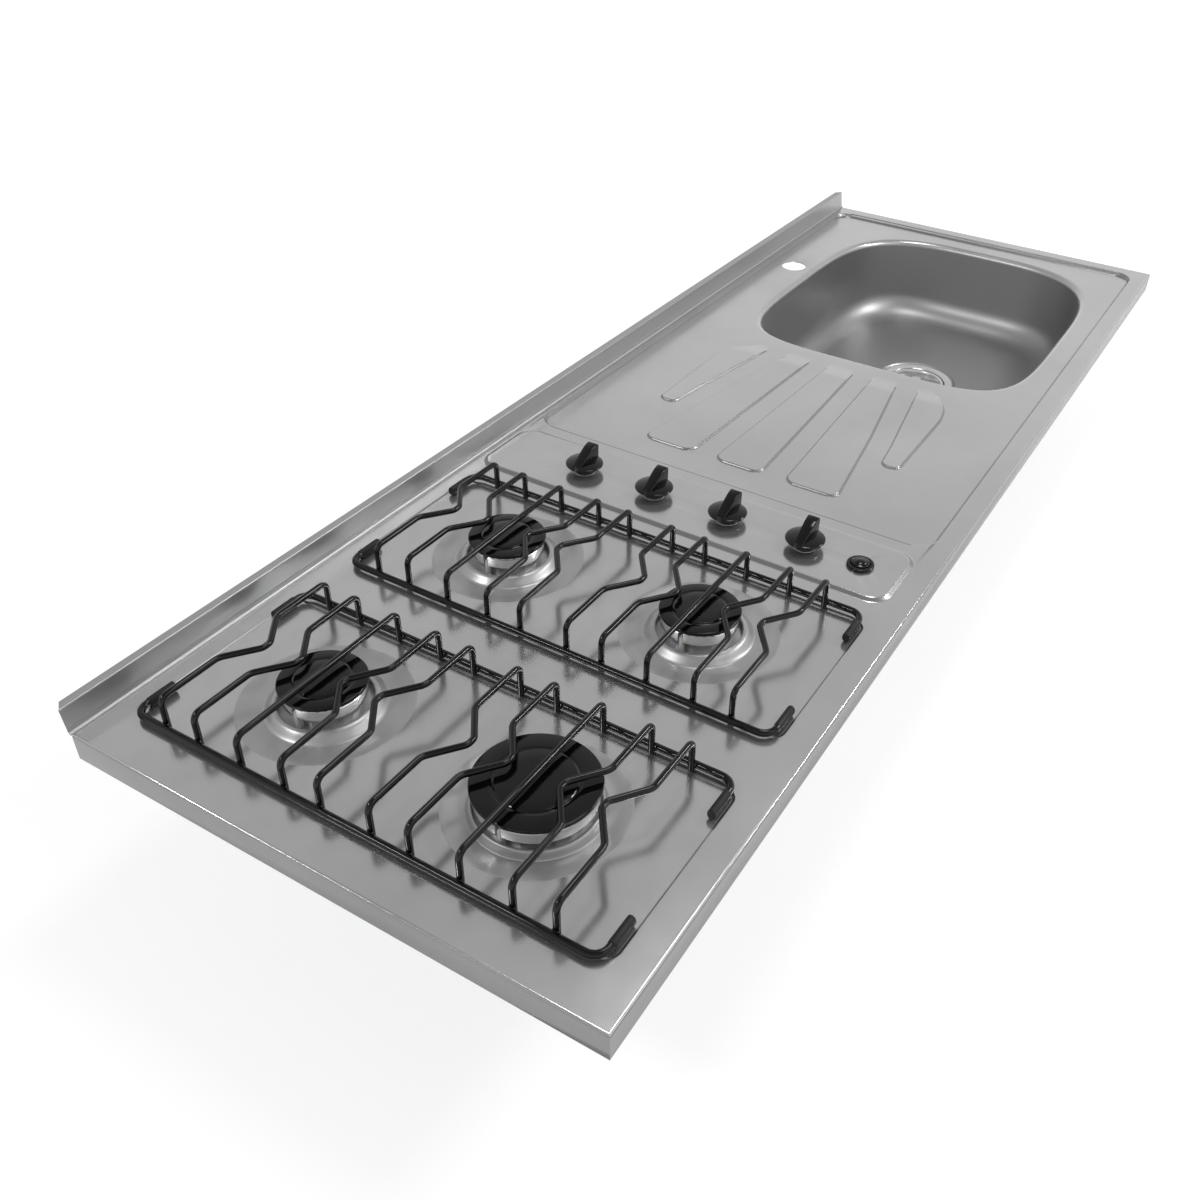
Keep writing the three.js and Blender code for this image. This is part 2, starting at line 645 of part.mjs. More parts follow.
function worktopSheet() {
  let sheet = foldedTop().add(upstand());
  const panelHalf = HOB_PANEL_WIDTH / 2;
  for (const x of BURNER_COLUMNS) {
    const outline = panelOutline(x - panelHalf, x + panelHalf,
      fromFront(HOB_PANEL_FRONT), fromWall(HOB_PANEL_BACK), HOB_PANEL_RADIUS);
    sheet = press(sheet, outline, HOB_PANEL_SLOPE, Z_TOP, -HOB_PANEL_DEPTH);
  }
  for (const burner of BURNERS) {
    const hole = cylinder(DISH_RADIUS, Z_HOB - 3 * STEEL, Z_HOB + STEEL, burner.x, burner.y, DISH_SEGMENTS);
    sheet = sheet.subtract(solid(hole)).add(burnerDish(burner));
  }
  const knobPanel = panelOutline(KNOB_X - KNOB_PANEL_WIDTH / 2, KNOB_X + KNOB_PANEL_WIDTH / 2,
    fromFront(KNOB_PANEL_FRONT), fromWall(KNOB_PANEL_BACK), KNOB_PANEL_RADIUS);
  sheet = press(sheet, knobPanel, KNOB_PANEL_SLOPE, Z_TOP, KNOB_PANEL_RISE);
  const panelHole = (y, radius, segments) => solid(
    cylinder(radius + GAP, Z_UNDER, Z_KNOB_PANEL + STEEL, KNOB_X, y, segments));
  for (const y of KNOB_ROWS) sheet = sheet.subtract(panelHole(y, TAP_BUSH_RADIUS, SMALL_SEGMENTS));
  sheet = sheet.subtract(panelHole(fromFront(BUTTON_Y), BEZEL_SPIGOT_RADIUS, HIDDEN_SEGMENTS));

  const board = panelOutline(fromHobEnd(BOARD_HOB_END), X_SINK_END - BOARD_END_MARGIN,
    fromFront(BOARD_FRONT), fromWall(BOARD_BACK), BOARD_RADIUS);
  sheet = press(sheet, board, BOARD_SLOPE, Z_TOP, -BOARD_DEPTH);
  for (const pad of padOutlines()) {
    sheet = press(sheet, (inset) => offsetLeft(pad, inset, true), PAD_SLOPE, Z_BOARD, PAD_RISE);
  }
  const opening = loft([
    bowlOutline(BOWL_LIP_RADIUS, Z_BOARD - 3 * STEEL), bowlOutline(BOWL_LIP_RADIUS, Z_TOP),
  ]);
  const tapHole = cylinder(TAP_HOLE_RADIUS, Z_BOARD - 3 * STEEL, Z_TOP, BOWL_CENTRE[0] + TAP_HOLE_ASIDE,
    fromWall(TAP_HOLE_BACK), DISH_SEGMENTS);
  return surface(sheet.subtract(solid(opening)).add(bowlLip()).subtract(solid(tapHole)));
}

place('worktop_sheet', worktopSheet(), steel);

// ---------------------------------------------------------------- sink bowl

// One face of the bowl, drop millimetres outside its wet face: flange, curve under the lip, wall, floor, seat
function bowlFace(drop) {
  const zAxis = Z_BOARD - BOWL_LIP_RADIUS;
  const zFilletTop = Z_BOWL + BOWL_FALL + BOWL_FILLET;
  const wallReach = STEEL + GAP - BOWL_DRAFT * (zAxis - zFilletTop);
  const circle = (radius, z) => arc(...BOWL_CENTRE, radius, 0, 360 - 360 / BOWL_SEGMENTS, BOWL_SEGMENTS - 1)
    .map(([x, y]) => [x, y, z - drop]);
  return [
    bowlOutline(BOWL_LIP_RADIUS + BOWL_FLANGE, Z_BOARD - STEEL - GAP - drop),
    ...lipRings(STEEL + GAP + drop, 2),
    ...arc(wallReach - BOWL_FILLET, zFilletTop, BOWL_FILLET + drop, 0, -90, 3)
      .map(([reach, z]) => bowlOutline(reach, z)),
    circle(SEAT_RADIUS + SEAT_DEPTH, Z_BOWL),
    circle(SEAT_RADIUS, Z_SEAT),
    circle(DRAIN_HOLE_RADIUS, Z_SEAT),
  ];
}

place('sink_bowl', loft([...bowlFace(0), ...bowlFace(STEEL).reverse()], true), steel);

// ---------------------------------------------------------------- stiffening channels

const channelTop = Z_UNDER - GAP;
const opensForward = (low, high) => folded(
  [[high, channelTop], [low, channelTop], [low, 0], [high, 0]], CHANNEL_STEEL);
const opensBack = (low, high) => folded(
  [[low, 0], [high, 0], [high, channelTop], [low, channelTop]], CHANNEL_STEEL);
const channelEnds = [X_HOB_END + FOLD_RADIUS, X_SINK_END - FOLD_RADIUS];
const frontChannel = Y_FRONT + FOLD_RADIUS;
const sideChannelSpan = [frontChannel + CHANNEL_WIDTH + GAP, -CHANNEL_WIDTH / 2 - GAP];

place('channel_front',
  prismAlongX(opensForward(frontChannel, frontChannel + CHANNEL_WIDTH), ...channelEnds), galvanised);
place('channel_rear',
  prismAlongX(opensBack(-CHANNEL_WIDTH / 2, CHANNEL_WIDTH / 2),
    X_HOB_END + REAR_CHANNEL_INSET, X_SINK_END - REAR_CHANNEL_INSET), galvanised);
place('channel_hob_end',
  prismAlongY(opensForward(channelEnds[0], channelEnds[0] + CHANNEL_WIDTH), ...sideChannelSpan), galvanised);
place('channel_sink_end',
  prismAlongY(opensBack(channelEnds[1] - CHANNEL_WIDTH, channelEnds[1]), ...sideChannelSpan), galvanised);

// ---------------------------------------------------------------- tray under the hob

const inletY = fromWall(INLET_BACK);

function hobTray() {
  const [x0, x1] = [fromHobEnd(TRAY_HOB_END), fromHobEnd(TRAY_SINK_END)];
  const [y0, y1] = [fromFront(TRAY_FRONT), fromWall(TRAY_BACK)];
  const zRim = Z_UNDER - GAP;
  const hollow = (inset, zLow, zHigh) => solid(
    box(x0 + inset, x1 - inset, y0 + inset, y1 - inset, zLow, zHigh));
  let tray = solid(box(x0, x1, y0, y1, TRAY_FLOOR, zRim))
    .subtract(hollow(STEEL, TRAY_FLOOR + STEEL, zRim - STEEL))
    .subtract(hollow(STEEL + TRAY_RIM, zRim - 2 * STEEL, zRim + STEEL))
    .subtract(solid(
      cylinder(INLET_RADIUS + 2 * GAP, TRAY_FLOOR - STEEL, TRAY_FLOOR + 2 * STEEL, KNOB_X, inletY)));
  for (const x of BURNER_COLUMNS) {
    for (let i = 0; i < TRAY_SLOT_COUNT; i++) {
      const y = (BURNER_ROWS[0] + BURNER_ROWS[1]) / 2 + (i - (TRAY_SLOT_COUNT - 1) / 2) * TRAY_SLOT_PITCH;
      tray = tray.subtract(solid(box(x - TRAY_SLOT_LENGTH / 2, x + TRAY_SLOT_LENGTH / 2,
        y - TRAY_SLOT_WIDTH / 2, y + TRAY_SLOT_WIDTH / 2, TRAY_FLOOR - STEEL, TRAY_FLOOR + 2 * STEEL)));
    }
  }
  return surface(tray);
}

place('hob_undertray', hobTray(), galvanised);

// ---------------------------------------------------------------- burners

const zRing = Z_HOB + RING_LIFT;
const zRingTop = zRing + RING_HEIGHT;
const zCupFlange = Z_DISH - STEEL - GAP;
const zCupRim = zRing - GAP;
const zCupBottom = zCupRim - CUP_DEPTH;

function burnerCup({ ring, crest, shoulder }) {
  const wall = ring - RING_WALL + SPIGOT_WALL + GAP + CUP_WALL;
  const flange = crest + shoulder + CUP_FLANGE_REACH;
  const cup = solid(turned([
    [CUP_INLET_RADIUS, zCupBottom],
    [wall - 9, zCupBottom],
    [wall - 3, zCupFlange - CUP_FLANGE],
    [flange, zCupFlange - CUP_FLANGE],
    [flange, zCupFlange],
    [wall, zCupFlange],
    [wall, zCupRim],
    [wall - CUP_WALL, zCupRim],
    [wall - CUP_WALL, zCupFlange],
    [wall - 10, zCupBottom + 2],
    [CUP_INLET_RADIUS, zCupBottom + 2],
  ], BURNER_SEGMENTS));
  const electrodeHole = cylinder(ELECTRODE_RADIUS + GAP, zCupFlange - 2 * CUP_FLANGE, zCupFlange + GAP,
    ELECTRODE_INSET - ring, 0);
  return surface(cup.subtract(solid(electrodeHole)));
}

function burnerRing({ ring }) {
  const bore = ring - RING_WALL;
  const crown = solid(turned([
    [ring, zRing],
    [ring, zRingTop - 1],
    [ring - 1, zRingTop],
    [bore, zRingTop],
    [bore, zRing - SPIGOT_DEPTH],
    [bore + SPIGOT_WALL, zRing - SPIGOT_DEPTH],
    [bore + SPIGOT_WALL, zRing],
  ], BURNER_SEGMENTS));
  const half = ELECTRODE_RADIUS + RUNNING_GAP;
  const notch = box(-ring - 1, ELECTRODE_INSET + half - ring, -half, half, zRing - 1, zRingTop + 1);
  return surface(crown.subtract(solid(notch)));
}

function burnerCap({ ring }) {
  const rim = ring + CAP_OVERHANG;
  const disc = rim * CAP_DISC_SHARE;
  const spigot = ring - RING_WALL - GAP;
  const zUnder = zRingTop + GAP;
  const zRim = zUnder + CAP_RIM_HEIGHT;
  return turned([
    [0, zUnder - SPIGOT_DEPTH],
    [spigot, zUnder - SPIGOT_DEPTH],
    [spigot, zUnder],
    [rim, zUnder],
    [rim - 0.3, zRim - 1],
    [rim - 2, zRim],
    [disc + 1.5, zRim],
    [disc, zRim + CAP_DISC_HEIGHT],
    [0, zRim + CAP_DISC_HEIGHT],
  ], BURNER_SEGMENTS);
}

function sparkElectrode() {
  const top = zRingTop - ELECTRODE_BELOW_RING_TOP;
  const collarTop = zCupFlange - CUP_FLANGE - GAP;
  const wide = ELECTRODE_RADIUS + ELECTRODE_COLLAR;
  return turned([
    [0, top - ELECTRODE_LENGTH],
    [ELECTRODE_RADIUS, top - ELECTRODE_LENGTH],
    [ELECTRODE_RADIUS, collarTop - wide],
    [wide, collarTop - wide],
    [wide, collarTop],
    [ELECTRODE_RADIUS, collarTop],
    [ELECTRODE_RADIUS, top - ELECTRODE_TIP],
    [1, top],
    [0, top],
  ], SMALL_SIDES);
}

BURNERS.forEach((burner, i) => {
  const { x, y, ring } = burner;
  place(`burner_cup_${i + 1}`, burnerCup(burner), aluminium, x, y);
  place(`burner_ring_${i + 1}`, burnerRing(burner), aluminium, x, y);
  place(`burner_cap_${i + 1}`, burnerCap(burner), enamel, x, y);
  place(`spark_electrode_${i + 1}`, sparkElectrode(), ceramic, x + ELECTRODE_INSET - ring, y);
});

// ---------------------------------------------------------------- pan supports

const zRail = Z_HOB + RAIL_AXIS_HEIGHT;
const zBar = Z_HOB + BAR_AXIS_HEIGHT;
const GRATE_ENDS = [fromFront(GRATE_FRONT), fromWall(GRATE_BACK)];
const BAR_OFFSETS = [
  [GRATE_ENDS[0] + FRONT_BAR_INSET - BURNER_ROWS[0], -BAR_PITCH, 0, BAR_PITCH, MIDDLE_BAR_OFFSET],
  [-MIDDLE_BAR_OFFSET, -BAR_PITCH, 0, BAR_PITCH, GRATE_ENDS[1] - REAR_BAR_INSET - BURNER_ROWS[1]],
];

function grate(x) {
  const half = GRATE_WIDTH / 2;
  const rail = (side) => {
    const [outer, inner] = [x + side * half, x + side * (half - RAIL_STUB)];
    return solid(tube(route([
      [inner, GRATE_ENDS[0], zRail],
      [outer, GRATE_ENDS[0], zRail, RAIL_CORNER],
      [outer, GRATE_ENDS[1], zRail, RAIL_CORNER],
      [inner, GRATE_ENDS[1], zRail],
    ], 2), RAIL_RADIUS, WIRE_SIDES));
  };
  const bar = (burnerY, offset) => {
    const y = burnerY + offset;
    const jogged = y - Math.sign(offset) * BAR_JOG;
    const leg = half - BAR_LEG_INSET;
    const foot = zRail - BAR_LEG_BELOW_RAIL;
    const jog = offset === 0 ? [] : [
      [x - JOG_HALF_WIDTH, y, zBar], [x - JOG_HALF_FLAT, jogged, zBar],
      [x + JOG_HALF_FLAT, jogged, zBar], [x + JOG_HALF_WIDTH, y, zBar],
    ];
    return solid(tube(route([
      [x - leg, y, foot], [x - leg, y, zBar, BAR_BEND], ...jog,
      [x + leg, y, zBar, BAR_BEND], [x + leg, y, foot],
    ], 1), BAR_RADIUS, WIRE_SIDES));
  };
  let frame = rail(-1).add(rail(1));
  BURNER_ROWS.forEach((burnerY, row) => {
    for (const offset of BAR_OFFSETS[row]) frame = frame.add(bar(burnerY, offset));
  });
  return surface(frame);
}

// A rubber sleeve with a closed end, pushed over a rail's stub and resting on the hob panel
function sleeve(direction) {
  const outer = RAIL_AXIS_HEIGHT - GAP;
  const bore = RAIL_RADIUS + GAP;
  const shell = turned([
    [0, 0], [outer - 0.8, 0], [outer, 0.8], [outer, SLEEVE_LENGTH], [bore, SLEEVE_LENGTH],
    [bore, SLEEVE_END_WALL], [0, SLEEVE_END_WALL],
  ], SMALL_SIDES);
  return shell.rotateY(-direction * Math.PI / 2).translate(0, 0, zRail);
}

['near', 'far'].forEach((side, i) => {
  const x = BURNER_COLUMNS[i];
  place(`grate_${side}`, grate(x), enamel);
  GRATE_ENDS.forEach((y, j) => {
    [-1, 1].forEach((hand, k) => {
      const stubEnd = x + hand * (GRATE_WIDTH / 2 - RAIL_STUB) - hand * (SLEEVE_END_WALL + GAP);
      place(`grate_sleeve_${side}_${2 * j + k + 1}`, sleeve(-hand), rubber, stubEnd, y);
    });
  });
});

// ---------------------------------------------------------------- gas taps, knobs and pipes

const stemSection = (radius, flat, steps) => {
  const half = THREE.MathUtils.radToDeg(Math.acos((radius - flat) / radius));
  return arc(0, 0, radius, half, 360 - half, steps);
};

function gasTap() {
  const bore = STEM_RADIUS + RUNNING_GAP;
  const stemBottom = Z_KNOB_PANEL + STEM_ABOVE_PANEL - STEM_LENGTH;
  const body = solid(turned([
    [0, TAP_BOTTOM],
    [TAP_RADIUS, TAP_BOTTOM],
    [TAP_RADIUS, Z_KNOB_PANEL - STEEL - GAP],
    [TAP_BUSH_RADIUS, Z_KNOB_PANEL - STEEL - GAP],
    [TAP_BUSH_RADIUS, Z_KNOB_PANEL + GAP / 2],
    [TAP_COLLAR_RADIUS, Z_KNOB_PANEL + GAP / 2],
    [TAP_COLLAR_RADIUS, Z_KNOB_PANEL + TAP_COLLAR_HEIGHT],
    [bore, Z_KNOB_PANEL + TAP_COLLAR_HEIGHT],
    [bore, stemBottom - RUNNING_GAP],
    [0, stemBottom - RUNNING_GAP],
  ], SMALL_SEGMENTS));
  const outlet = cylinder(TAP_OUTLET_RADIUS, TAP_RADIUS / 2, TAP_OUTLET_REACH, 0, 0, SMALL_SIDES)
    .rotateY(-Math.PI / 2).translate(0, 0, TAP_OUTLET_Z);
  const bottomHole = cylinder(MANIFOLD_BORE / 2, TAP_BOTTOM - 1, TAP_BOTTOM + 3, 0, 0, SMALL_SIDES);
  return surface(body.add(solid(outlet)).subtract(solid(bottomHole)));
}

function tapStem() {
  const top = Z_KNOB_PANEL + STEM_ABOVE_PANEL;
  return prismUp(stemSection(STEM_RADIUS, STEM_FLAT, 12), top - STEM_LENGTH, top);
}

function knob() {
  const bottom = Z_KNOB_PANEL + TAP_COLLAR_HEIGHT + KNOB_TRAVEL + GAP;
  const skirt = solid(turned([
    [0, 0],
    [KNOB_HUB_RADIUS, 0],
    [KNOB_SKIRT_RADIUS - 0.6, KNOB_SKIRT_HEIGHT - 0.6],
    [KNOB_SKIRT_RADIUS, KNOB_SKIRT_HEIGHT],
    [KNOB_SKIRT_RADIUS - 0.8, KNOB_SKIRT_HEIGHT + 0.8],
    [KNOB_SKIRT_RADIUS * 0.6, KNOB_SKIRT_HEIGHT + KNOB_DOME * 0.85],
    [0, KNOB_SKIRT_HEIGHT + KNOB_DOME],
  ], HIDDEN_SEGMENTS));
  const grip = prismAlongY(GRIP_PROFILE, -GRIP_WIDTH / 2, GRIP_WIDTH / 2);
  const bore = prismUp(stemSection(STEM_RADIUS + GAP, STEM_FLAT, 12), -1, KNOB_BORE_DEPTH);
  return surface(skirt.add(solid(grip)).subtract(solid(bore))).translate(0, 0, bottom);
}

function feedPipe(burner, tapY) {
  const start = KNOB_X - TAP_OUTLET_REACH - GAP;
  const drop = start - 2 * PIPE_BEND;
  const end = zCupBottom - GAP;
  const swerve = burner.x + PIPE_SWERVE;
  const slant = Math.abs(burner.y - tapY);
  return tube(route([
    [start, tapY, TAP_OUTLET_Z],
    [drop, tapY, TAP_OUTLET_Z, PIPE_BEND * 0.6],
    [drop, tapY, PIPE_RUN_Z, PIPE_BEND * 0.6],
    [swerve, tapY, PIPE_RUN_Z, PIPE_BEND],
    [swerve - slant, burner.y, PIPE_RUN_Z, PIPE_BEND],
    [burner.x, burner.y, PIPE_RUN_Z, PIPE_BEND],
    [burner.x, burner.y, end],
  ], 1), PIPE_RADIUS, WIRE_SIDES, PIPE_BORE);
}

KNOB_ROWS.forEach((y, i) => {
  place(`gas_tap_${i + 1}`, gasTap(), brass, KNOB_X, y);
  place(`tap_stem_${i + 1}`, tapStem(), steel, KNOB_X, y);
  place(`knob_${i + 1}`, knob(), blackPlastic, KNOB_X, y);
  place(`feed_pipe_${i + 1}`, feedPipe(BURNERS[i], y), aluminium);
});

// Square rail under the taps, bored from its rear end, where the inlet elbow carries on
const zRailTop = TAP_BOTTOM - GAP;
const zRailAxis = zRailTop - MANIFOLD_SIZE / 2;
const manifoldEnds = [KNOB_ROWS[0] - MANIFOLD_END_MARGIN, inletY - INLET_REACH - GAP];

function gasManifold() {
  const half = MANIFOLD_SIZE / 2;
  const rail = solid(box(KNOB_X - half, KNOB_X + half, ...manifoldEnds, zRailTop - MANIFOLD_SIZE, zRailTop));
  const length = manifoldEnds[1] - manifoldEnds[0];
  const bore = cylinder(MANIFOLD_BORE, 0, length, 0, 0, SMALL_SIDES).rotateX(-Math.PI / 2)
    .translate(KNOB_X, manifoldEnds[0] + MANIFOLD_SIZE / 2, zRailAxis);
  let body = rail.subtract(solid(bore));
  for (const y of KNOB_ROWS) {
    body = body.subtract(solid(cylinder(MANIFOLD_BORE / 2, zRailAxis, zRailTop + 1, KNOB_X, y, SMALL_SIDES)));
  }
  return surface(body);
}

place('gas_manifold', gasManifold(), steel);
place('gas_inlet_elbow', tube(route([
  [KNOB_X, manifoldEnds[1] + GAP, zRailAxis],
  [KNOB_X, inletY, zRailAxis, INLET_BEND],
  [KNOB_X, inletY, INLET_BOTTOM],
]), INLET_RADIUS, SMALL_SIDES, INLET_BORE), brass);

// ---------------------------------------------------------------- ignition button

const buttonY = fromFront(BUTTON_Y);

place('button_bezel', turned([
  [BUTTON_RADIUS + RUNNING_GAP, BEZEL_SPIGOT_BOTTOM],
  [BEZEL_SPIGOT_RADIUS, BEZEL_SPIGOT_BOTTOM],
  [BEZEL_SPIGOT_RADIUS, Z_KNOB_PANEL + GAP / 2],
  [BEZEL_RADIUS, Z_KNOB_PANEL + GAP / 2],
  [BEZEL_RADIUS, Z_KNOB_PANEL + BEZEL_HEIGHT - 1],
  [BEZEL_RADIUS - 1, Z_KNOB_PANEL + BEZEL_HEIGHT],
  [BUTTON_RADIUS + RUNNING_GAP, Z_KNOB_PANEL + BEZEL_HEIGHT],
], HIDDEN_SEGMENTS), blackPlastic, KNOB_X, buttonY);

const buttonTop = Z_KNOB_PANEL + BEZEL_HEIGHT + BUTTON_ABOVE_BEZEL;
const buttonBottom = BEZEL_SPIGOT_BOTTOM + BUTTON_TRAVEL + GAP;

place('ignition_button', turned([
  [0, buttonBottom],
  [BUTTON_RADIUS, buttonBottom],
  [BUTTON_RADIUS, buttonTop],
  [BUTTON_RADIUS * 0.8, buttonTop + BUTTON_DOME * 0.6],
  [BUTTON_RADIUS * 0.45, buttonTop + BUTTON_DOME],
  [0, buttonTop + BUTTON_DOME],
], HIDDEN_SEGMENTS), blackPlastic, KNOB_X, buttonY);

const moduleTop = BEZEL_SPIGOT_BOTTOM - GAP;
place('ignition_module', box(KNOB_X - MODULE_LENGTH / 2, KNOB_X + MODULE_LENGTH / 2,
  buttonY - MODULE_WIDTH / 2, buttonY + MODULE_WIDTH / 2, moduleTop - MODULE_HEIGHT, moduleTop), greyPlastic);

// ---------------------------------------------------------------- waste fitting

const zFlange = Z_SEAT + GAP;
const zShankBottom = zFlange - SHANK_DEPTH;
const shankBore = SHANK_RADIUS - SHANK_WALL;

place('drain_flange', turned([
  [FLANGE_RADIUS, zFlange],
  [FLANGE_RADIUS - 1, zFlange + FLANGE_THICKNESS],
  [shankBore, zFlange + FLANGE_THICKNESS - 0.5],
  [shankBore, zShankBottom + SHANK_WALL],
  [SHANK_OUTLET_RADIUS, zShankBottom + SHANK_WALL],
  [SHANK_OUTLET_RADIUS, zShankBottom],
  [SHANK_RADIUS, zShankBottom],
  [SHANK_RADIUS, zFlange],
], HIDDEN_SEGMENTS), steel, ...BOWL_CENTRE);

const zSealTop = Z_SEAT - STEEL - GAP;
place('drain_seal', turned([
  [DRAIN_HOLE_RADIUS, zSealTop - SEAL_THICKNESS],
  [BODY_RIM_RADIUS, zSealTop - SEAL_THICKNESS],
  [BODY_RIM_RADIUS, zSealTop],
  [DRAIN_HOLE_RADIUS, zSealTop],
], HIDDEN_SEGMENTS), rubber, ...BOWL_CENTRE);

const zBodyTop = zSealTop - SEAL_THICKNESS - GAP;
const bodyBore = SHANK_RADIUS + GAP;
const zBodyFloor = zShankBottom - GAP;

place('drain_body', turned([
  [bodyBore, zBodyTop],
  [bodyBore, zBodyFloor],
  [OUTLET_BORE, zBodyFloor],
  [OUTLET_BORE, zBodyFloor - BODY_WALL - OUTLET_LENGTH],
  [OUTLET_RADIUS, zBodyFloor - BODY_WALL - OUTLET_LENGTH],
  [OUTLET_RADIUS, zBodyFloor - BODY_WALL],
  [bodyBore + BODY_WALL, zBodyFloor - BODY_WALL],
  [bodyBore + BODY_WALL, zBodyTop - BODY_RIM_THICKNESS],
  [BODY_RIM_RADIUS, zBodyTop - BODY_RIM_THICKNESS],
  [BODY_RIM_RADIUS, zBodyTop],
], HIDDEN_SEGMENTS), greyPlastic, ...BOWL_CENTRE);

const zBasketRim = Z_SEAT - BASKET_RIM_BELOW_SEAT;
const zBasketFloor = zShankBottom + SHANK_WALL + GAP;
const zPostTop = zBasketRim + BASKET_KNOB_ABOVE_RIM;

place('strainer_basket', turned([
  [0, zBasketFloor],
  [BASKET_BOTTOM_RADIUS, zBasketFloor],
  [BASKET_TOP_RADIUS, zBasketRim],
  [BASKET_RIM_RADIUS, zBasketRim],
  [BASKET_RIM_RADIUS, zBasketRim + BASKET_STEEL],
  [BASKET_TOP_RADIUS - BASKET_STEEL, zBasketRim + BASKET_STEEL],
  [BASKET_BOTTOM_RADIUS - BASKET_STEEL, zBasketFloor + BASKET_STEEL],
  [BASKET_POST_RADIUS, zBasketFloor + BASKET_STEEL],
  [BASKET_POST_RADIUS, zPostTop],
  [BASKET_KNOB_RADIUS, zPostTop],
  [BASKET_KNOB_RADIUS, zPostTop + BASKET_KNOB_HEIGHT],
  [0, zPostTop + BASKET_KNOB_HEIGHT],
], HIDDEN_SEGMENTS), steel, ...BOWL_CENTRE);

export default kitchenette;
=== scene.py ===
# %% [markdown]
# A pressed steel kitchenette worktop, dressed for the camera: the sheet with its hob, draining board and
# bowl, four burners under wire pan supports, knobs and an ignition button. The CAD model is loaded first
# and never moved. Each fine piece is made in the same frame and rides on a body. Shapes are measured in
# millimetres, and mm turns them into metres. The camera, the lamps and the textures are set in metres.

# %% Load the frame
import math
from itertools import product

import bmesh
import bpy
from mathutils import Matrix, Vector


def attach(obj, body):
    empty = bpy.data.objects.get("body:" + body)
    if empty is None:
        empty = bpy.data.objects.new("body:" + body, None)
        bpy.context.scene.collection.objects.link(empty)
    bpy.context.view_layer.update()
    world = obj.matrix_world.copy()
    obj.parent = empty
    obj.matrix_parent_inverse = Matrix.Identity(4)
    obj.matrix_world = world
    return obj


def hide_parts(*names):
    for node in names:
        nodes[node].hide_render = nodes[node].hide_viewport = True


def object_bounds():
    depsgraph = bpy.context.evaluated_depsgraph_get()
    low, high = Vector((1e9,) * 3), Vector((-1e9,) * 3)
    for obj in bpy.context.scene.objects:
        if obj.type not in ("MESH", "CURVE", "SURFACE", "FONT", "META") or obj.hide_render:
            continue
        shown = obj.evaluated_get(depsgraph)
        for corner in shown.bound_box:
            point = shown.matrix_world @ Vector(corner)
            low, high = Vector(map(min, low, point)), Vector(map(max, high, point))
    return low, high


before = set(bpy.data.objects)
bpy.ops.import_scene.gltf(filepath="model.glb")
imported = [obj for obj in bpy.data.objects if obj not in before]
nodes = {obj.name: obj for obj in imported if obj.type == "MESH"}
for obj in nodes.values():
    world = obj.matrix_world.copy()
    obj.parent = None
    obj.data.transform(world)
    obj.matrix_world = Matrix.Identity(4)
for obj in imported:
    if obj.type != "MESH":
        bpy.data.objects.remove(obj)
cad_low, cad_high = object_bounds()
scene = bpy.context.scene
mm = 0.001
print("CAD nodes:", len(nodes), "CAD box:", [round(v, 4) for v in (*cad_low, *cad_high)])

# %% [markdown]
# The camera comes first, because it decides what has to look right. Its place was worked out from the
# worktop's straight edges and the burners' circles. A small shift moves the picture on the sensor without
# turning the camera, so the vertical perspective stays as it was.

# %% Camera
camera_data = bpy.data.cameras.new("camera")
camera_data.sensor_width = 36
camera_data.lens = 35.81
camera_data.shift_x = -0.0544
camera_data.shift_y = -0.0102
camera_data.clip_start = 0.05
camera_data.clip_end = 50
camera = bpy.data.objects.new("camera", camera_data)
camera.location = (-1.1121, -0.7366, 0.6912)
camera.rotation_euler = [math.radians(a) for a in (53.4193, -1.8199, -59.4305)]
scene.collection.objects.link(camera)
scene.camera = camera
print("lens", camera_data.lens, "mm at", tuple(camera.location))

# %% [markdown]
# Materials are built from nodes. This helper makes a Principled material and hands back its nodes, so
# each finish below only says what is special about it. Plain numbers go straight on the shader's own
# sockets.

# %% Material helpers
def new_finish(name, colour, roughness, metallic=0.0, **sockets):
    """A Principled material; returns it with its node tree and its shader node."""
    material = bpy.data.materials.new(name)
    material.use_nodes = True
    tree = material.node_tree
    shader = tree.nodes["Principled BSDF"]
    shader.inputs["Base Color"].default_value = (*colour, 1)
    shader.inputs["Roughness"].default_value = roughness
    shader.inputs["Metallic"].default_value = metallic
    for socket, value in sockets.items():
        shader.inputs[socket.replace("_", " ")].default_value = value
    return material, tree, shader


def object_space(tree, scale=(1, 1, 1), turn=(0, 0, 0)):
    """Object coordinates, stretched and turned by a Mapping node."""
    place = tree.nodes.new("ShaderNodeTexCoord")
    mapping = tree.nodes.new("ShaderNodeMapping")
    mapping.inputs["Scale"].default_value = scale
    mapping.inputs["Rotation"].default_value = turn
    tree.links.new(place.outputs["Object"], mapping.inputs["Vector"])
    return mapping.outputs["Vector"]


def noise(tree, where, scale, detail=3.0, rough=0.5):
    node = tree.nodes.new("ShaderNodeTexNoise")
    node.inputs["Scale"].default_value = scale
    node.inputs["Detail"].default_value = detail
    node.inputs["Roughness"].default_value = rough
    tree.links.new(where, node.inputs["Vector"])
    return node.outputs["Fac"]


def spread(tree, value, low, high, out_low, out_high):
    """Maps low..high of a value to out_low..out_high, held at both ends."""
    node = tree.nodes.new("ShaderNodeMapRange")
    for socket, number in zip(("From Min", "From Max", "To Min", "To Max"), (low, high, out_low, out_high)):
        node.inputs[socket].default_value = number
    tree.links.new(value, node.inputs["Value"])
    return node.outputs["Result"]


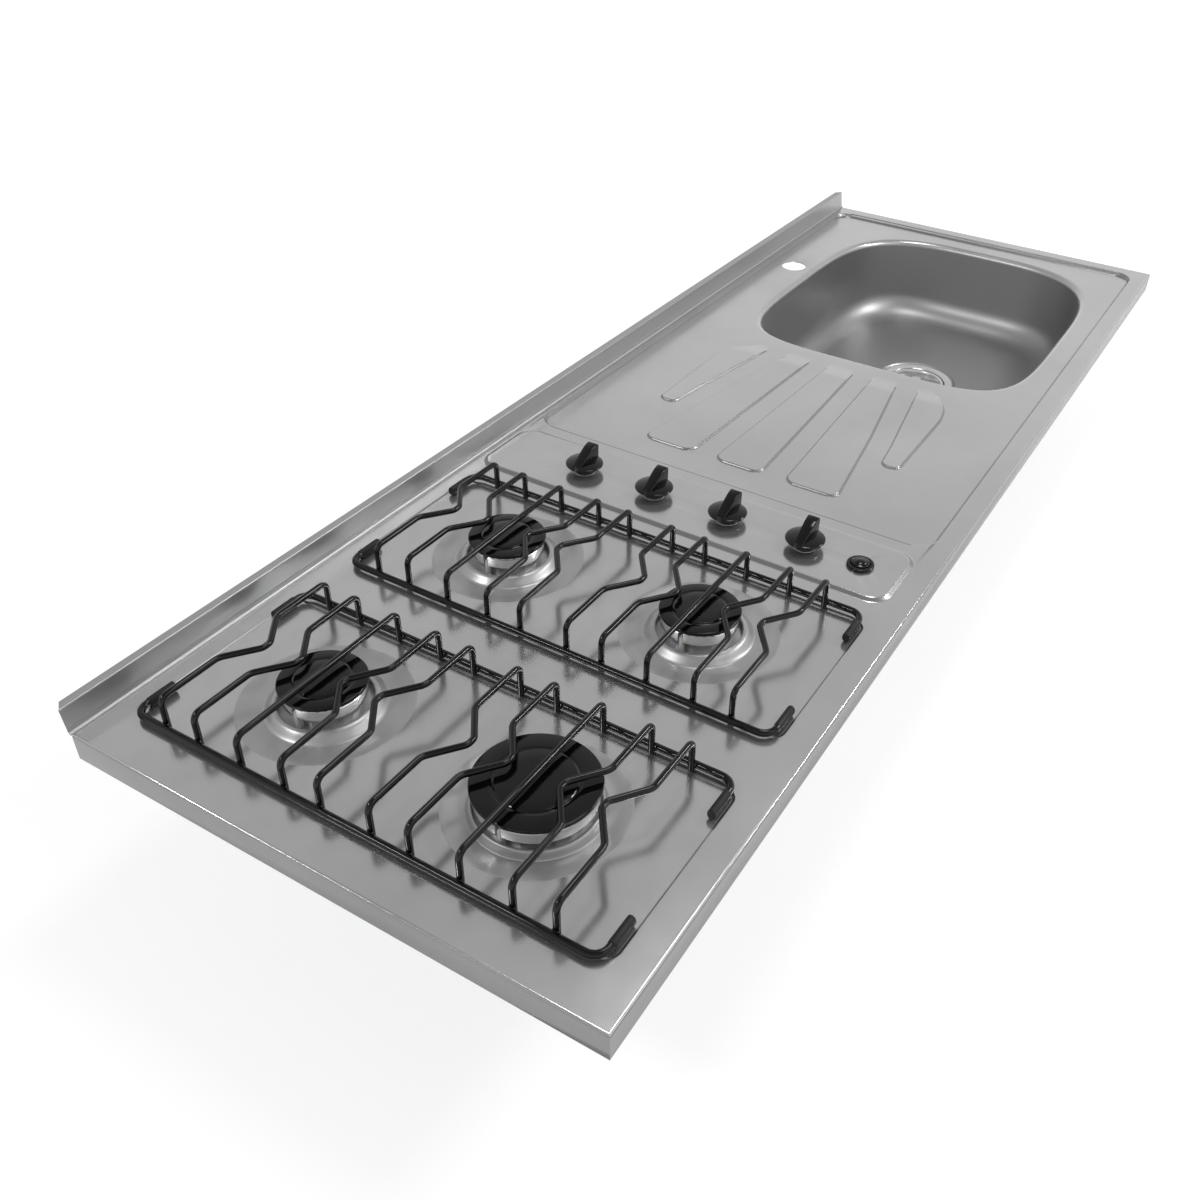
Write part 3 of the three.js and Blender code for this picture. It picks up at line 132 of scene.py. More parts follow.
def between(tree, value, dark, light):
    """A colour between dark and light, chosen by a value from 0 to 1."""
    node = tree.nodes.new("ShaderNodeMix")
    node.data_type = "RGBA"
    node.inputs["A"].default_value = (*dark, 1)
    node.inputs["B"].default_value = (*light, 1)
    tree.links.new(value, node.inputs["Factor"])
    return node.outputs["Result"]


def bumped(tree, shader, height, strength, distance):
    node = tree.nodes.new("ShaderNodeBump")
    node.inputs["Strength"].default_value = strength
    node.inputs["Distance"].default_value = distance
    tree.links.new(height, node.inputs["Height"])
    tree.links.new(node.outputs["Normal"], shader.inputs["Normal"])

# %% [markdown]
# Satin stainless steel is bright metal whose mirror is blurred by fine rolling lines along the sheet.
# Three noises give it life: broad clouds in the tone, medium clouds in the roughness, and long thin lines
# in the bump. The lines are one noise squeezed across X, so they run the length of the sheet as rolling
# marks do. The deep-drawn bowl and the upstand are rougher than the flats, and a darker tone is blended in
# there as painted shade. The burners' dishes have a finish of their own; the folded aprons and the creases
# of the pressings get a darker steel whose tone is painted shade.

# %% Satin steel
def satin_steel(name, dark, light, rough_low, rough_high, grain, metal, lines=(3, 480, 480)):
    material, tree, shader = new_finish(name, light, rough_low, metal)
    where = object_space(tree)
    clouds = noise(tree, where, 5.0, 4.0, 0.6)
    tone = between(tree, spread(tree, clouds, 0.35, 0.65, 0, 1), dark, light)
    tree.links.new(tone, shader.inputs["Base Color"])
    patches = noise(tree, where, 22.0, 3.0, 0.55)
    tree.links.new(spread(tree, patches, 0.3, 0.7, rough_low, rough_high), shader.inputs["Roughness"])
    bumped(tree, shader, noise(tree, object_space(tree, lines), 1.0, 2.0), grain, 0.0002)
    return material, tree, shader


def matt_and_shaded_beyond(tree, shader, axis, start, end, rough, tone):
    """Blends a steel to a rougher one with a darker tone of painted shade, between two places in millimetres
    along an axis.
    """
    place = tree.nodes.new("ShaderNodeTexCoord")
    split = tree.nodes.new("ShaderNodeSeparateXYZ")
    tree.links.new(place.outputs["Object"], split.inputs["Vector"])
    low, high, first = min(start, end) * mm, max(start, end) * mm, 0 if start < end else 1
    share = spread(tree, split.outputs[axis], low, high, first, 1 - first)
    for socket, kind, value in (("Roughness", "FLOAT", rough), ("Base Color", "RGBA", (*tone, 1))):
        polished = shader.inputs[socket].links[0].from_socket
        mix = tree.nodes.new("ShaderNodeMix")
        mix.data_type = kind
        sides = [i for i in mix.inputs if i.name in ("A", "B") and i.enabled]
        tree.links.new(share, mix.inputs["Factor"])
        tree.links.new(polished, sides[0])
        sides[1].default_value = value
        tree.links.new(next(o for o in mix.outputs if o.enabled), shader.inputs[socket])


# The folded aprons and the creases of the pressings take these darker tones as painted shade
FOLD_AND_CREASE_SHADE_TONES = (0.25, 0.25, 0.252), (0.29, 0.29, 0.292)
steel, *sheet_nodes = satin_steel("satin_steel", (0.52, 0.52, 0.522), (0.58, 0.58, 0.583),
                                  0.16, 0.22, grain=0.03, metal=0.84)
# Rougher, with a painted darker shade, down in the bowl, and again behind the cove, on the upstand
matt_and_shaded_beyond(*sheet_nodes, "Z", 20.5, 15, 0.40, (0.34, 0.34, 0.342))
matt_and_shaded_beyond(*sheet_nodes, "Y", -7.5, -5.5, 0.38, (0.40, 0.40, 0.402))
dish_steel, *_ = satin_steel("spun_steel", (0.42, 0.42, 0.422), (0.48, 0.48, 0.483),
                             0.34, 0.4, grain=0.02, metal=0.8, lines=(60, 60, 60))
folded_shade_steel, *_ = satin_steel("folded_steel_painted_shade", *FOLD_AND_CREASE_SHADE_TONES, 0.24, 0.3, grain=0.03, metal=0.85)
crease_shade_steel, *_ = satin_steel("creased_steel_painted_shade", *FOLD_AND_CREASE_SHADE_TONES, 0.28, 0.34, grain=0.02, metal=0.85)
fitting_steel, *_ = satin_steel("turned_steel", (0.62, 0.62, 0.62), (0.72, 0.72, 0.72),
                                0.16, 0.24, grain=0.06, metal=0.7, lines=(60, 60, 600))
print("steel finishes made")

# %% [markdown]
# Zinc-coated sheet shows a spangle: crystals a few millimetres wide, each of its own grey. A Voronoi
# texture makes exactly such cells, and its colour output gives each cell one random tone.

# %% Galvanised sheet
def spangled(name, dark, light, size, roughness):
    material, tree, shader = new_finish(name, light, roughness, 1.0)
    cells = tree.nodes.new("ShaderNodeTexVoronoi")
    cells.inputs["Scale"].default_value = 1 / size
    tree.links.new(object_space(tree), cells.inputs["Vector"])
    tone = tree.nodes.new("ShaderNodeSeparateColor")
    tree.links.new(cells.outputs["Color"], tone.inputs["Color"])
    tree.links.new(between(tree, tone.outputs["Red"], dark, light), shader.inputs["Base Color"])
    rough = spread(tree, tone.outputs["Green"], 0, 1, roughness - 0.08, roughness + 0.1)
    tree.links.new(rough, shader.inputs["Roughness"])
    bumped(tree, shader, noise(tree, object_space(tree), 900.0, 2.0), 0.05, 0.0002)
    return material


galvanised = spangled("galvanised_sheet", (0.46, 0.47, 0.48), (0.54, 0.55, 0.56),
                      size=0.004, roughness=0.44)
print("galvanised sheet made")

# %% [markdown]
# Burner rings are aluminium turned bright. Turning leaves fine rings, so the bump there is a noise
# squeezed along Z. The cups and the gas pipes under the sheet are a dull, even grey. Brass and plated
# zinc are made the same way, with tones of their own.

# %% Aluminium, brass and zinc
def turned_metal(name, dark, light, rough_low, rough_high, squeeze, grain):
    material, tree, shader = new_finish(name, light, rough_low, 1.0)
    stretched = object_space(tree, squeeze)
    tone = spread(tree, noise(tree, object_space(tree), 60.0, 3.0), 0.35, 0.65, 0, 1)
    tree.links.new(between(tree, tone, dark, light), shader.inputs["Base Color"])
    rough = spread(tree, noise(tree, stretched, 1.0, 2.0), 0.3, 0.7, rough_low, rough_high)
    tree.links.new(rough, shader.inputs["Roughness"])
    bumped(tree, shader, noise(tree, stretched, 1.0, 2.0), grain, 0.0002)
    return material


bright_aluminium = turned_metal("turned_aluminium", (0.74, 0.74, 0.74), (0.86, 0.86, 0.86),
                                0.16, 0.28, squeeze=(40, 40, 1600), grain=0.12)
cast_aluminium = turned_metal("cast_aluminium", (0.52, 0.52, 0.53), (0.66, 0.66, 0.67),
                              0.42, 0.58, squeeze=(700, 700, 700), grain=0.25)
brass = turned_metal("brass", (0.62, 0.47, 0.22), (0.76, 0.60, 0.30),
                     0.22, 0.36, squeeze=(60, 60, 900), grain=0.1)
bright_zinc = turned_metal("bright_plated_zinc", (0.62, 0.63, 0.64), (0.74, 0.75, 0.76),
                           0.2, 0.32, squeeze=(300, 300, 300), grain=0.08)
print("turned and cast metals made")

# %% [markdown]
# Enamel on wire and on the burner caps is thick, black and glassy. A low roughness keeps its highlights
# sharp, and a very shallow, slow bump gives the slight orange peel of fired enamel. Plastic and rubber
# differ only in roughness, in the size of that peel and in its strength. The glazed ceramic alone has a
# clear coat.

# %% Enamel, plastics, rubber, ceramic
def coated(name, colour, roughness, mirror, peel_size, peel, speckle, coat=0.0):
    material, tree, shader = new_finish(name, colour, roughness, 0.0, Coat_Weight=coat,
                                        Coat_Roughness=0.06, Specular_IOR_Level=mirror)
    where = object_space(tree)
    deeper = tuple(c * (1 - speckle) for c in colour)
    tone = spread(tree, noise(tree, where, 90.0, 4.0), 0.3, 0.7, 0, 1)
    tree.links.new(between(tree, tone, deeper, colour), shader.inputs["Base Color"])
    rough = spread(tree, noise(tree, where, 35.0, 2.0), 0.3, 0.7, roughness * 0.8, roughness * 1.3)
    tree.links.new(rough, shader.inputs["Roughness"])
    bumped(tree, shader, noise(tree, where, 1 / peel_size, 2.0), peel, 0.0003)
    return material


# Colour, roughness, mirror, size and strength of the peel, speckle
enamel = coated("black_enamel", (0.002, 0.002, 0.002), 0.09, 0.34, 0.004, 0.05, 0.4)
cap_enamel = coated("cap_enamel", (0.003, 0.003, 0.003), 0.09, 0.34, 0.003, 0.03, 0.4)
knob_plastic = coated("gloss_black_plastic", (0.003, 0.003, 0.003), 0.10, 0.36, 0.002, 0.02, 0.3)
rubber = coated("black_rubber", (0.012, 0.012, 0.012), 0.5, 0.3, 0.0012, 0.3, 0.3)
ceramic = coated("glazed_ceramic", (0.80, 0.78, 0.73), 0.22, 0.5, 0.002, 0.05, 0.12, coat=0.4)
grey_plastic = coated("grey_plastic", (0.34, 0.345, 0.355), 0.42, 0.5, 0.001, 0.12, 0.1)
print("coated finishes made")

# %% [markdown]
# Helpers end every piece the same way: coincident points are joined, the faces are turned outwards, and
# edges sharper than 32 degrees stay crisp under smooth shading. The piece then rides on its body and
# stands for the CAD nodes it replaces. Most pieces are round, so the others help to write a profile of
# radius and height and to spin it about an upright axis.

# %% Piece helpers
def join_points(bm, reach=0.004):
    bmesh.ops.remove_doubles(bm, verts=bm.verts, dist=reach * mm)


def close_up(bm):
    """Joins coincident points, then turns the faces outwards."""
    join_points(bm)
    bmesh.ops.recalc_face_normals(bm, faces=bm.faces)


def new_piece(bm, name, body, slot, material, *replaced):
    close_up(bm)
    link_piece(bm, name, body, slot, material, *replaced)


def link_piece(bm, name, body, slot, material, *replaced, sharp=32.0):
    mesh = bpy.data.meshes.new(name)
    bm.to_mesh(mesh)
    bm.free()
    mesh.shade_smooth()
    mesh.set_sharp_from_angle(angle=math.radians(sharp))
    mesh.materials.append(material)
    piece = bpy.data.objects.new(name, mesh)
    scene.collection.objects.link(piece)
    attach(piece, body)
    if replaced:
        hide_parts(*replaced)
    print(f"{name}: {len(mesh.polygons)} faces")
    return piece


def spun(bm, profile, centre, sides=64):
    """A profile of (radius, height) in millimetres, turned about a vertical axis through centre."""
    x, y = centre
    corners = [bm.verts.new(((x + r) * mm, y * mm, z * mm)) for r, z in profile]
    edges = [bm.edges.new(pair) for pair in zip(corners, corners[1:])]
    bmesh.ops.spin(bm, geom=corners + edges, cent=(x * mm, y * mm, 0), axis=(0, 0, 1), dvec=(0, 0, 0),
                   angle=2 * math.pi, steps=sides, use_merge=True, use_duplicate=False)


def arc(x, z, radius, start, end, steps):
    """Points of an arc in a profile; the angles are in degrees."""
    angles = [math.radians(start + (end - start) * i / steps) for i in range(steps + 1)]
    return [(x + radius * math.cos(a), z + radius * math.sin(a)) for a in angles]


def smooth(t):
    """0 to 1 with a soft start and end."""
    t = min(max(t, 0.0), 1.0)
    return t * t * (3 - 2 * t)


def swell(start, end, steps):
    """An S-shaped slope between two (radius, height) points."""
    return [(start[0] + (end[0] - start[0]) * i / steps,
             start[1] + (end[1] - start[1]) * smooth(i / steps)) for i in range(steps + 1)]


def place_round(face, x, y, sides):
    """A face's radius and height about the axis at x, y, and its number in a ring of sides."""
    centre = face.calc_center_median() / mm
    turn = math.atan2(centre.y - y, centre.x - x)
    step = int((turn + math.pi) / (2 * math.pi) * sides)
    return math.hypot(centre.x - x, centre.y - y), centre.z, step

# %% [markdown]
# The worktop is one sheet, pressed in stages. It is modelled the same way: each pressed panel starts as a
# flat face with rounded corners, which is inset again and again, a little deeper each time, along a soft
# S-curve. The face left in the middle is then removed, so that what is pressed into it can take its
# place.

# %% Pressed panels
# Heights of the flats: the top, the hob's recesses, the knob panel and the draining board
Z_TOP, Z_HOB, Z_KNOBS, Z_BOARD = 25.0, 24.2, 28.0, 21.0


def round_corners(bm, corners, radius, segments):
    """Rounds corners of a flat face by a bevel of their points."""
    bmesh.ops.bevel(bm, geom=corners, offset=radius * mm, offset_type="OFFSET", segments=segments,
                    profile=0.5, affect="VERTICES", material=-1)


def rounded_panel(x0, x1, y0, y1, radius, segments=10):
    """A bmesh with one flat face at the sheet's top and rounded corners."""
    bm = bmesh.new()
    bmesh.ops.create_grid(bm, x_segments=1, y_segments=1, size=0.5)
    bmesh.ops.scale(bm, vec=((x1 - x0) * mm, (y1 - y0) * mm, 1), verts=bm.verts)
    bmesh.ops.translate(bm, vec=((x0 + x1) / 2 * mm, (y0 + y1) / 2 * mm, Z_TOP * mm), verts=bm.verts)
    round_corners(bm, bm.verts[:], radius, segments)
    return bm


def press(bm, width, depth, steps):
    """Insets the largest face along an S-curve: width inwards, depth upwards (downwards if negative)."""
    face = max(bm.faces, key=lambda f: f.calc_area())
    if face.normal.z < 0:
        bmesh.ops.reverse_faces(bm, faces=[face])
    for i in range(steps):
        rise = depth * (smooth((i + 1) / steps) - smooth(i / steps))
        bmesh.ops.inset_individual(bm, faces=[face], thickness=width / steps * mm, depth=rise * mm,
                                   use_even_offset=True)
    return face


def opened(bm, face):
    bmesh.ops.delete(bm, geom=[face], context="FACES_ONLY")


def absorb(whole, part):
    """Copies one bmesh into another."""
    carrier = bpy.data.meshes.new("carrier")
    part.to_mesh(carrier)
    part.free()
    whole.from_mesh(carrier)
    bpy.data.meshes.remove(carrier)


def fill_at(bm, z, x0=-760, x1=760):
    """Fills the flat region at height z between the open edges there, holes left open."""
    def here(edge):
        return len(edge.link_faces) < 2 and all(abs(v.co.z / mm - z) < 0.02 and x0 < v.co.x / mm < x1
                                                for v in edge.verts)
    edges = [e for e in bm.edges if here(e)]
    made = bmesh.ops.triangle_fill(bm, use_beauty=True, use_dissolve=False, edges=edges,
                                   normal=(0, 0, 1))["geom"]
    faces = sum(isinstance(g, bmesh.types.BMFace) for g in made)
    print(f"flat at z {z}: {len(edges)} edges round it, {faces} faces")


# Recesses by their half width and their ends, the other panels by first and last x, first and last y
BURNER_X, BURNER_Y = (-614.0, -366.0), (-355.5, -144.5)
RECESS_HALF, RECESS_Y = 91, (-480.5, -22.5)
KNOB_PANEL = (-246, -149, -484.5, -10.5)
BOARD = (-134, 730, -488.5, -8.5)

top = bmesh.new()
for x in BURNER_X:
    panel = rounded_panel(x - RECESS_HALF, x + RECESS_HALF, *RECESS_Y, 12)
    opened(panel, press(panel, 2.5, Z_HOB - Z_TOP, 6))
    absorb(top, panel)
panel = rounded_panel(*KNOB_PANEL, 22, 14)
opened(panel, press(panel, 7, Z_KNOBS - Z_TOP, 10))
absorb(top, panel)
panel = rounded_panel(*BOARD, 27, 14)
press(panel, 1.2, 0, 1)
opened(panel, press(panel, 3.4, Z_BOARD - Z_TOP, 8))
absorb(top, panel)
print("pressed panels:", len(top.faces), "faces of slope")

# %% [markdown]
# Round each burner the sheet dips into a shallow dish and then rises to a rounded shoulder, which keeps
# spills away from the flame. Anything round is quickest as a profile spun about its axis.

# %% Burner dishes
# Burners in the order of the knobs: x, y, radius of the ring, of the shoulder's crest and of its foot
BURNERS = [(-614.0, -355.5, 48.0, 50.0, 54.5), (-366.0, -355.5, 34.5, 40.5, 51.5),
           (-366.0, -144.5, 34.5, 40.5, 51.5), (-614.0, -144.5, 34.5, 40.5, 51.5)]
DISH_EDGE, DISH_FLOOR = 73, 58.5
Z_DISH, Z_CREST, CREST_ROUND = 22.4, 30.0, 1.5
for x, y, _, crest, foot in BURNERS:
    profile = swell((DISH_EDGE, Z_HOB), (DISH_FLOOR, Z_DISH), 10)
    profile += swell((foot, Z_DISH), (crest + 0.9, Z_CREST - 0.25), 10)
    profile += arc(crest, Z_CREST - CREST_ROUND, CREST_ROUND, 80, 180, 5)
    spun(top, profile, (x, y), 96)
join_points(top, 0.002)
for x in BURNER_X:
    fill_at(top, Z_HOB, x - RECESS_HALF - 4, x + RECESS_HALF + 4)

# %% [markdown]
# The knob panel is pierced for the four gas taps and for the button. A hole in a flat region only needs
# its circle of edges: the fill below goes round it.

# %% Knob panel's holes
KNOB_X, KNOB_Y, BUTTON_Y = -197.5, (-380.0, -293.5, -207.0, -120.5), -439.5
TAP_HOLE, BUTTON_HOLE = 8.3, 11.3


def hole(bm, x, y, z, radius, sides=48):
    bmesh.ops.create_circle(bm, cap_ends=False, segments=sides, radius=radius * mm,
                            matrix=Matrix.Translation((x * mm, y * mm, z * mm)))


for y in KNOB_Y:
    hole(top, KNOB_X, y, Z_KNOBS, TAP_HOLE)
hole(top, KNOB_X, BUTTON_Y, Z_KNOBS, BUTTON_HOLE)
fill_at(top, Z_KNOBS)

# %% [markdown]
# The draining board carries five raised pads that fan out from the bowl. Each pad is a face from a few
# corners, with every corner rounded by its own bevel, raised by the same pressing as the panels. Towards
# the bowl the pads sink back into the board, so they are cut across there and each cut is lowered.

# %% Draining board's pads
PAD_AXIS = -247.5
PAD_SLOPE, PAD_HEIGHT = 2.4, 2.0
FADE_START, FADE_LENGTH, FADE_CUTS = 162, 44, (168, 176, 184, 190, 196, 202)
# Corners of each pad: x, distance from the pads' axis, reach of the rounding
PADS = {
    "middle": [(-90, -30, 14), (-90, 30, 14), (205, 18, 4), (205, -18, 4)],
    "inner": [(-90, 56, 14), (-90, 121, 14), (50, 101, 0), (205, 74, 4), (205, 41, 4)],
    "outer": [(1, 131, 9), (1, 154, 9), (150, 154, 20), (186, 140, 17), (208, 112, 4),
              (200, 101, 3), (50, 125, 0)],
}


def pad(corners, hand):
    bm = bmesh.new()
    points = [Vector((x * mm, (PAD_AXIS + hand * y) * mm, Z_BOARD * mm)) for x, y, _ in corners]
    bm.faces.new([bm.verts.new(p) for p in points])
    for point, (*_, reach) in zip(points, corners):
        if reach:
            corner = min(bm.verts, key=lambda v: (v.co - point).length)
            round_corners(bm, [corner], reach, 8)
    bmesh.ops.recalc_face_normals(bm, faces=bm.faces)
    press(bm, PAD_SLOPE, PAD_HEIGHT, 6)
    for x in FADE_CUTS:
        bmesh.ops.bisect_plane(bm, geom=bm.verts[:] + bm.edges[:] + bm.faces[:],
                               plane_co=(x * mm, 0, 0), plane_no=(1, 0, 0))
    for v in bm.verts:
        fade = 1 - smooth((v.co.x / mm - FADE_START) / FADE_LENGTH)
        v.co.z = (Z_BOARD + (v.co.z / mm - Z_BOARD) * fade) * mm
    return bm


for name, corners in PADS.items():
    for hand in (1, -1) if name != "middle" else (1,):
        absorb(top, pad(corners, hand))
print("pads made, top has", len(top.faces), "faces")

# %% [markdown]
# The bowl is a stack of loops: a rounded lip, a wall with a little draft, a wide fillet and a floor that
# falls to the drain. Its outline is squarer at the board's end than at the far end, so one formula with
# two exponents gives each loop, and neighbouring loops are bridged. On the floor the outline turns into
# the drain's circle.

# %% Sink bowl
BOWL_X, BOWL_Y, BOWL_HALF = 460.0, -266.0, (227.0, 186.5)
BOWL_SIDES, BOARD_END, FAR_END = 120, 5.0, 3.4


def bowl_point(angle, reach):
    """A point of the bowl's outline, which is widened by reach."""
    a, b = BOWL_HALF[0] + reach, BOWL_HALF[1] + reach
    c, s = math.cos(angle), math.sin(angle)
    n = BOARD_END if c < 0 else FAR_END
    r = ((abs(c) / a) ** n + (abs(s) / b) ** n) ** (-1 / n)
    return r * c, r * s


def loop(bm, z, reach, round_radius=0.0, roundness=0.0):
    """A loop of the bowl's outline at height z, mixed with a circle by roundness."""
    verts = bmesh.ops.create_circle(bm, cap_ends=False, segments=BOWL_SIDES, radius=1.0)["verts"]
    for i, v in enumerate(verts):
        angle = 2 * math.pi * i / BOWL_SIDES
        x, y = bowl_point(angle, reach)
        x += (round_radius * math.cos(angle) - x) * roundness
        y += (round_radius * math.sin(angle) - y) * roundness
        v.co = ((BOWL_X + x) * mm, (BOWL_Y + y) * mm, z * mm)
    return list({e for v in verts for e in v.link_edges})


LIP, FILLET = 8, 38
Z_WALL_TOP, WALL_FOOT, Z_WALL_FOOT = 13.0, -5.7, -57.0
DRAIN_SLOPE, FLOOR_FALL = 56.5, 2
WALL_DROP, Z_FLOOR, FLOOR_EDGE = Z_WALL_TOP - Z_WALL_FOOT, Z_WALL_FOOT - FILLET, WALL_FOOT - FILLET
bowl_profile = arc(LIP, Z_WALL_TOP, LIP, 90, 180, 8)
bowl_profile += [(WALL_FOOT * t, Z_WALL_TOP - WALL_DROP * t) for t in (0.15, 0.4, 0.65, 0.88)]
bowl_profile += arc(FLOOR_EDGE, Z_WALL_FOOT, FILLET, 0, -90, 14)
loops = [loop(top, z, reach) for reach, z in bowl_profile]
for t in (0.12, 0.3, 0.5, 0.7, 0.85, 1.0):
    roundness = smooth(t) * 0.35 + 0.65 * t
    loops.append(loop(top, Z_FLOOR - FLOOR_FALL * t, FLOOR_EDGE, DRAIN_SLOPE, roundness))
# Two circles at one height would be bridged into a lid, so each lies lower than the last
drain_profile = swell((DRAIN_SLOPE, Z_FLOOR - FLOOR_FALL), (53.5, -99.5), 4)[1:]
drain_profile += [(50, -99.6), (44, -99.7)]
loops += [loop(top, z, 0, r, 1.0) for r, z in drain_profile]
for above, below in zip(loops, loops[1:]):
    bmesh.ops.bridge_loops(top, edges=above + below)
MIXER_X, MIXER_Y, MIXER_HOLE = 476, -46.5, 17.5
hole(top, MIXER_X, MIXER_Y, Z_BOARD, MIXER_HOLE, 64)
fill_at(top, Z_BOARD)

# %% [markdown]
# The sheet's edges fold down into aprons at the front and ends and up into the upstand at the wall. Both
# are extruded edge by edge along a folded profile. At the front corners the two folds meet in a mitre,
# because each corner point moves with both edges.

# %% Aprons
def extend(bm, edges, move):
    """Extrudes open edges and moves the new points; returns the new edges."""
    made = bmesh.ops.extrude_edge_only(bm, edges=edges)["geom"]
    verts = [g for g in made if isinstance(g, bmesh.types.BMVert)]
    for v in verts:
        v.co = move(v.co / mm) * mm
    return [g for g in made if isinstance(g, bmesh.types.BMEdge) and all(v in verts for v in g.verts)]


HALF_LENGTH, Y_FRONT, Y_COVE = 750.0, -507.5, -5.5
FOLD, APRON_DROP = 2.5, 22.5
rim = bmesh.new()
bmesh.ops.create_grid(rim, x_segments=1, y_segments=1, size=0.5)
bmesh.ops.scale(rim, vec=(2 * (HALF_LENGTH - FOLD) * mm, (Y_COVE - Y_FRONT - FOLD) * mm, 1), verts=rim.verts)
bmesh.ops.translate(rim, vec=(0, (Y_COVE + Y_FRONT + FOLD) / 2 * mm, Z_TOP * mm), verts=rim.verts)
bmesh.ops.delete(rim, geom=rim.faces[:], context="FACES_ONLY")


def is_back(edge):
    return all(v.co.y / mm > Y_COVE - 1 for v in edge.verts)


apron_edges = [e for e in rim.edges if not is_back(e)]
back_edges = [e for e in rim.edges if is_back(e)]
fold_steps = arc(0, FOLD, FOLD, -90, 0, 6)
for (out0, down0), (out1, down1) in [*zip(fold_steps, fold_steps[1:]), ((0, 0), (0, APRON_DROP))]:
    def over(co, out=out1 - out0, down=down1 - down0):
        along_y = -out if co.y < Y_FRONT / 2 else 0.0
        return Vector((co.x + math.copysign(out, co.x), co.y + along_y, co.z - down))
    apron_edges = extend(rim, apron_edges, over)
print("aprons made:", len(rim.faces), "faces")

# %% [markdown]
# The upstand leans back slightly and carries a narrow return at its top with a hem behind it. Its foot
# has a small bead that catches the light as a thin double line. The return is mitred at both ends, so the
# points behind the face come in towards the middle.

# %% Upstand
# Points (y, z): the cove, the bead, the leaning face and its turned top, a fine step, the hem behind
upstand = arc(Y_COVE, Z_TOP + 3, 3, -90, -10, 6)[1:]
upstand += [(-2.55, 28.6), (-2.75, 29.1), (-2.7, 29.6), (-2.35, 30.0), (-2.2, 31.0)]
upstand += [(-0.1, 47.6)] + arc(1.2, 47.8, 1.2, 175, 90, 4)
upstand += [(3.4, 49.0), (3.8, 48.65), (4.2, 48.65)]
upstand += [(8.2, 48.65)] + arc(8.3, 47.45, 1.2, 90, 0, 4) + [(9.5, 37.0)]
Y_WALL, MITRE = 9.5, 7
for y, z in upstand:
    def follow(co, y=y, z=z):
        inwards = MITRE * max(0.0, y) / Y_WALL
        return Vector((math.copysign(HALF_LENGTH - inwards, co.x), y, z))
    back_edges = extend(rim, back_edges, follow)
absorb(top, rim)
join_points(top)
fill_at(top, Z_TOP)
print("worktop:", len(top.faces), "faces")

# %% [markdown]
# The finished skin gets one millimetre of steel on its inner side from a Solidify modifier, and a
# Weighted Normal modifier keeps the large flats flat where they meet a tight fold. The dishes get a finish
# of their own, and the folded aprons and the creases of the pressings a darker steel of painted shade:
# each face chooses by its place and its slope.

# %% Worktop piece
close_up(top)
if max(top.faces, key=lambda f: f.calc_area()).normal.z < 0:
    bmesh.ops.reverse_faces(top, faces=top.faces)
pressed_top = link_piece(top, "pressed_top", "worktop", "steel", steel,
                         "worktop_sheet", "sink_bowl", sharp=40)
for finish in (dish_steel, folded_shade_steel, crease_shade_steel):
    pressed_top.data.materials.append(finish)
# Faces on the aprons, on the slopes of the pressings and along the board's near edge take the darker steels:
# painted shade
IN_DISH, ON_APRON_SHADE, ON_CREASE_SHADE = 1, 2, 3
APRON_BAND, LEVEL = 1.2, 0.95
for face in pressed_top.data.polygons:
    x, y, z = face.center / mm
    outside = abs(x) > HALF_LENGTH - APRON_BAND or y < Y_FRONT + APRON_BAND
    on_panels = z > Z_BOARD - 0.1 and Y_FRONT + 8 < y < -7 and abs(x) < HALF_LENGTH - 10
    board_edge_shade = BOARD[0] - 0.1 < x < BOARD[0] + 1.3 and -488 < y < -8
    if any(math.hypot(x - bx, y - by) < DISH_EDGE + 0.2 for bx, by, *_ in BURNERS):
        face.material_index = IN_DISH
    elif outside and z < Z_TOP - 0.8:
        face.material_index = ON_APRON_SHADE
    elif on_panels and (face.normal.z < LEVEL or board_edge_shade):
        face.material_index = ON_CREASE_SHADE
gauge = pressed_top.modifiers.new("gauge", "SOLIDIFY")
gauge.thickness = 1 * mm
gauge.offset = -1
gauge.use_even_offset = True
flats = pressed_top.modifiers.new("flats", "WEIGHTED_NORMAL")
flats.keep_sharp = True

# %% [markdown]
# A burner is a turned aluminium ring with a spigot below, flame slots under its top edge and a notch for
# the spark electrode. The slots are faces of the spun wall, pushed in by an inset. The notch is cut with
# a Boolean.

# %% Burner rings
def cut(bm, cutter):
    """bm less cutter, worked out once by a Boolean modifier."""
    whole, tool = bpy.data.meshes.new("whole"), bpy.data.meshes.new("tool")
    bm.to_mesh(whole)
    cutter.to_mesh(tool)
    cutter.free()
    body, knife = bpy.data.objects.new("whole", whole), bpy.data.objects.new("tool", tool)
    scene.collection.objects.link(body)
    scene.collection.objects.link(knife)
    boolean = body.modifiers.new("cut", "BOOLEAN")
    boolean.operation, boolean.object, boolean.solver = "DIFFERENCE", knife, "EXACT"
    result = bpy.data.meshes.new_from_object(body.evaluated_get(bpy.context.evaluated_depsgraph_get()))
    bm.clear()
    bm.from_mesh(result)
    for made in (body, knife):
        bpy.data.objects.remove(made)
    for mesh in (whole, tool, result):
        bpy.data.meshes.remove(mesh)


def block(x0, x1, y0, y1, z0, z1):
    bm = bmesh.new()
    bmesh.ops.create_cube(bm, size=1.0)
    bmesh.ops.scale(bm, vec=((x1 - x0) * mm, (y1 - y0) * mm, (z1 - z0) * mm), verts=bm.verts)
    bmesh.ops.translate(bm, vec=((x0 + x1) / 2 * mm, (y0 + y1) / 2 * mm, (z0 + z1) / 2 * mm), verts=bm.verts)
    return bm


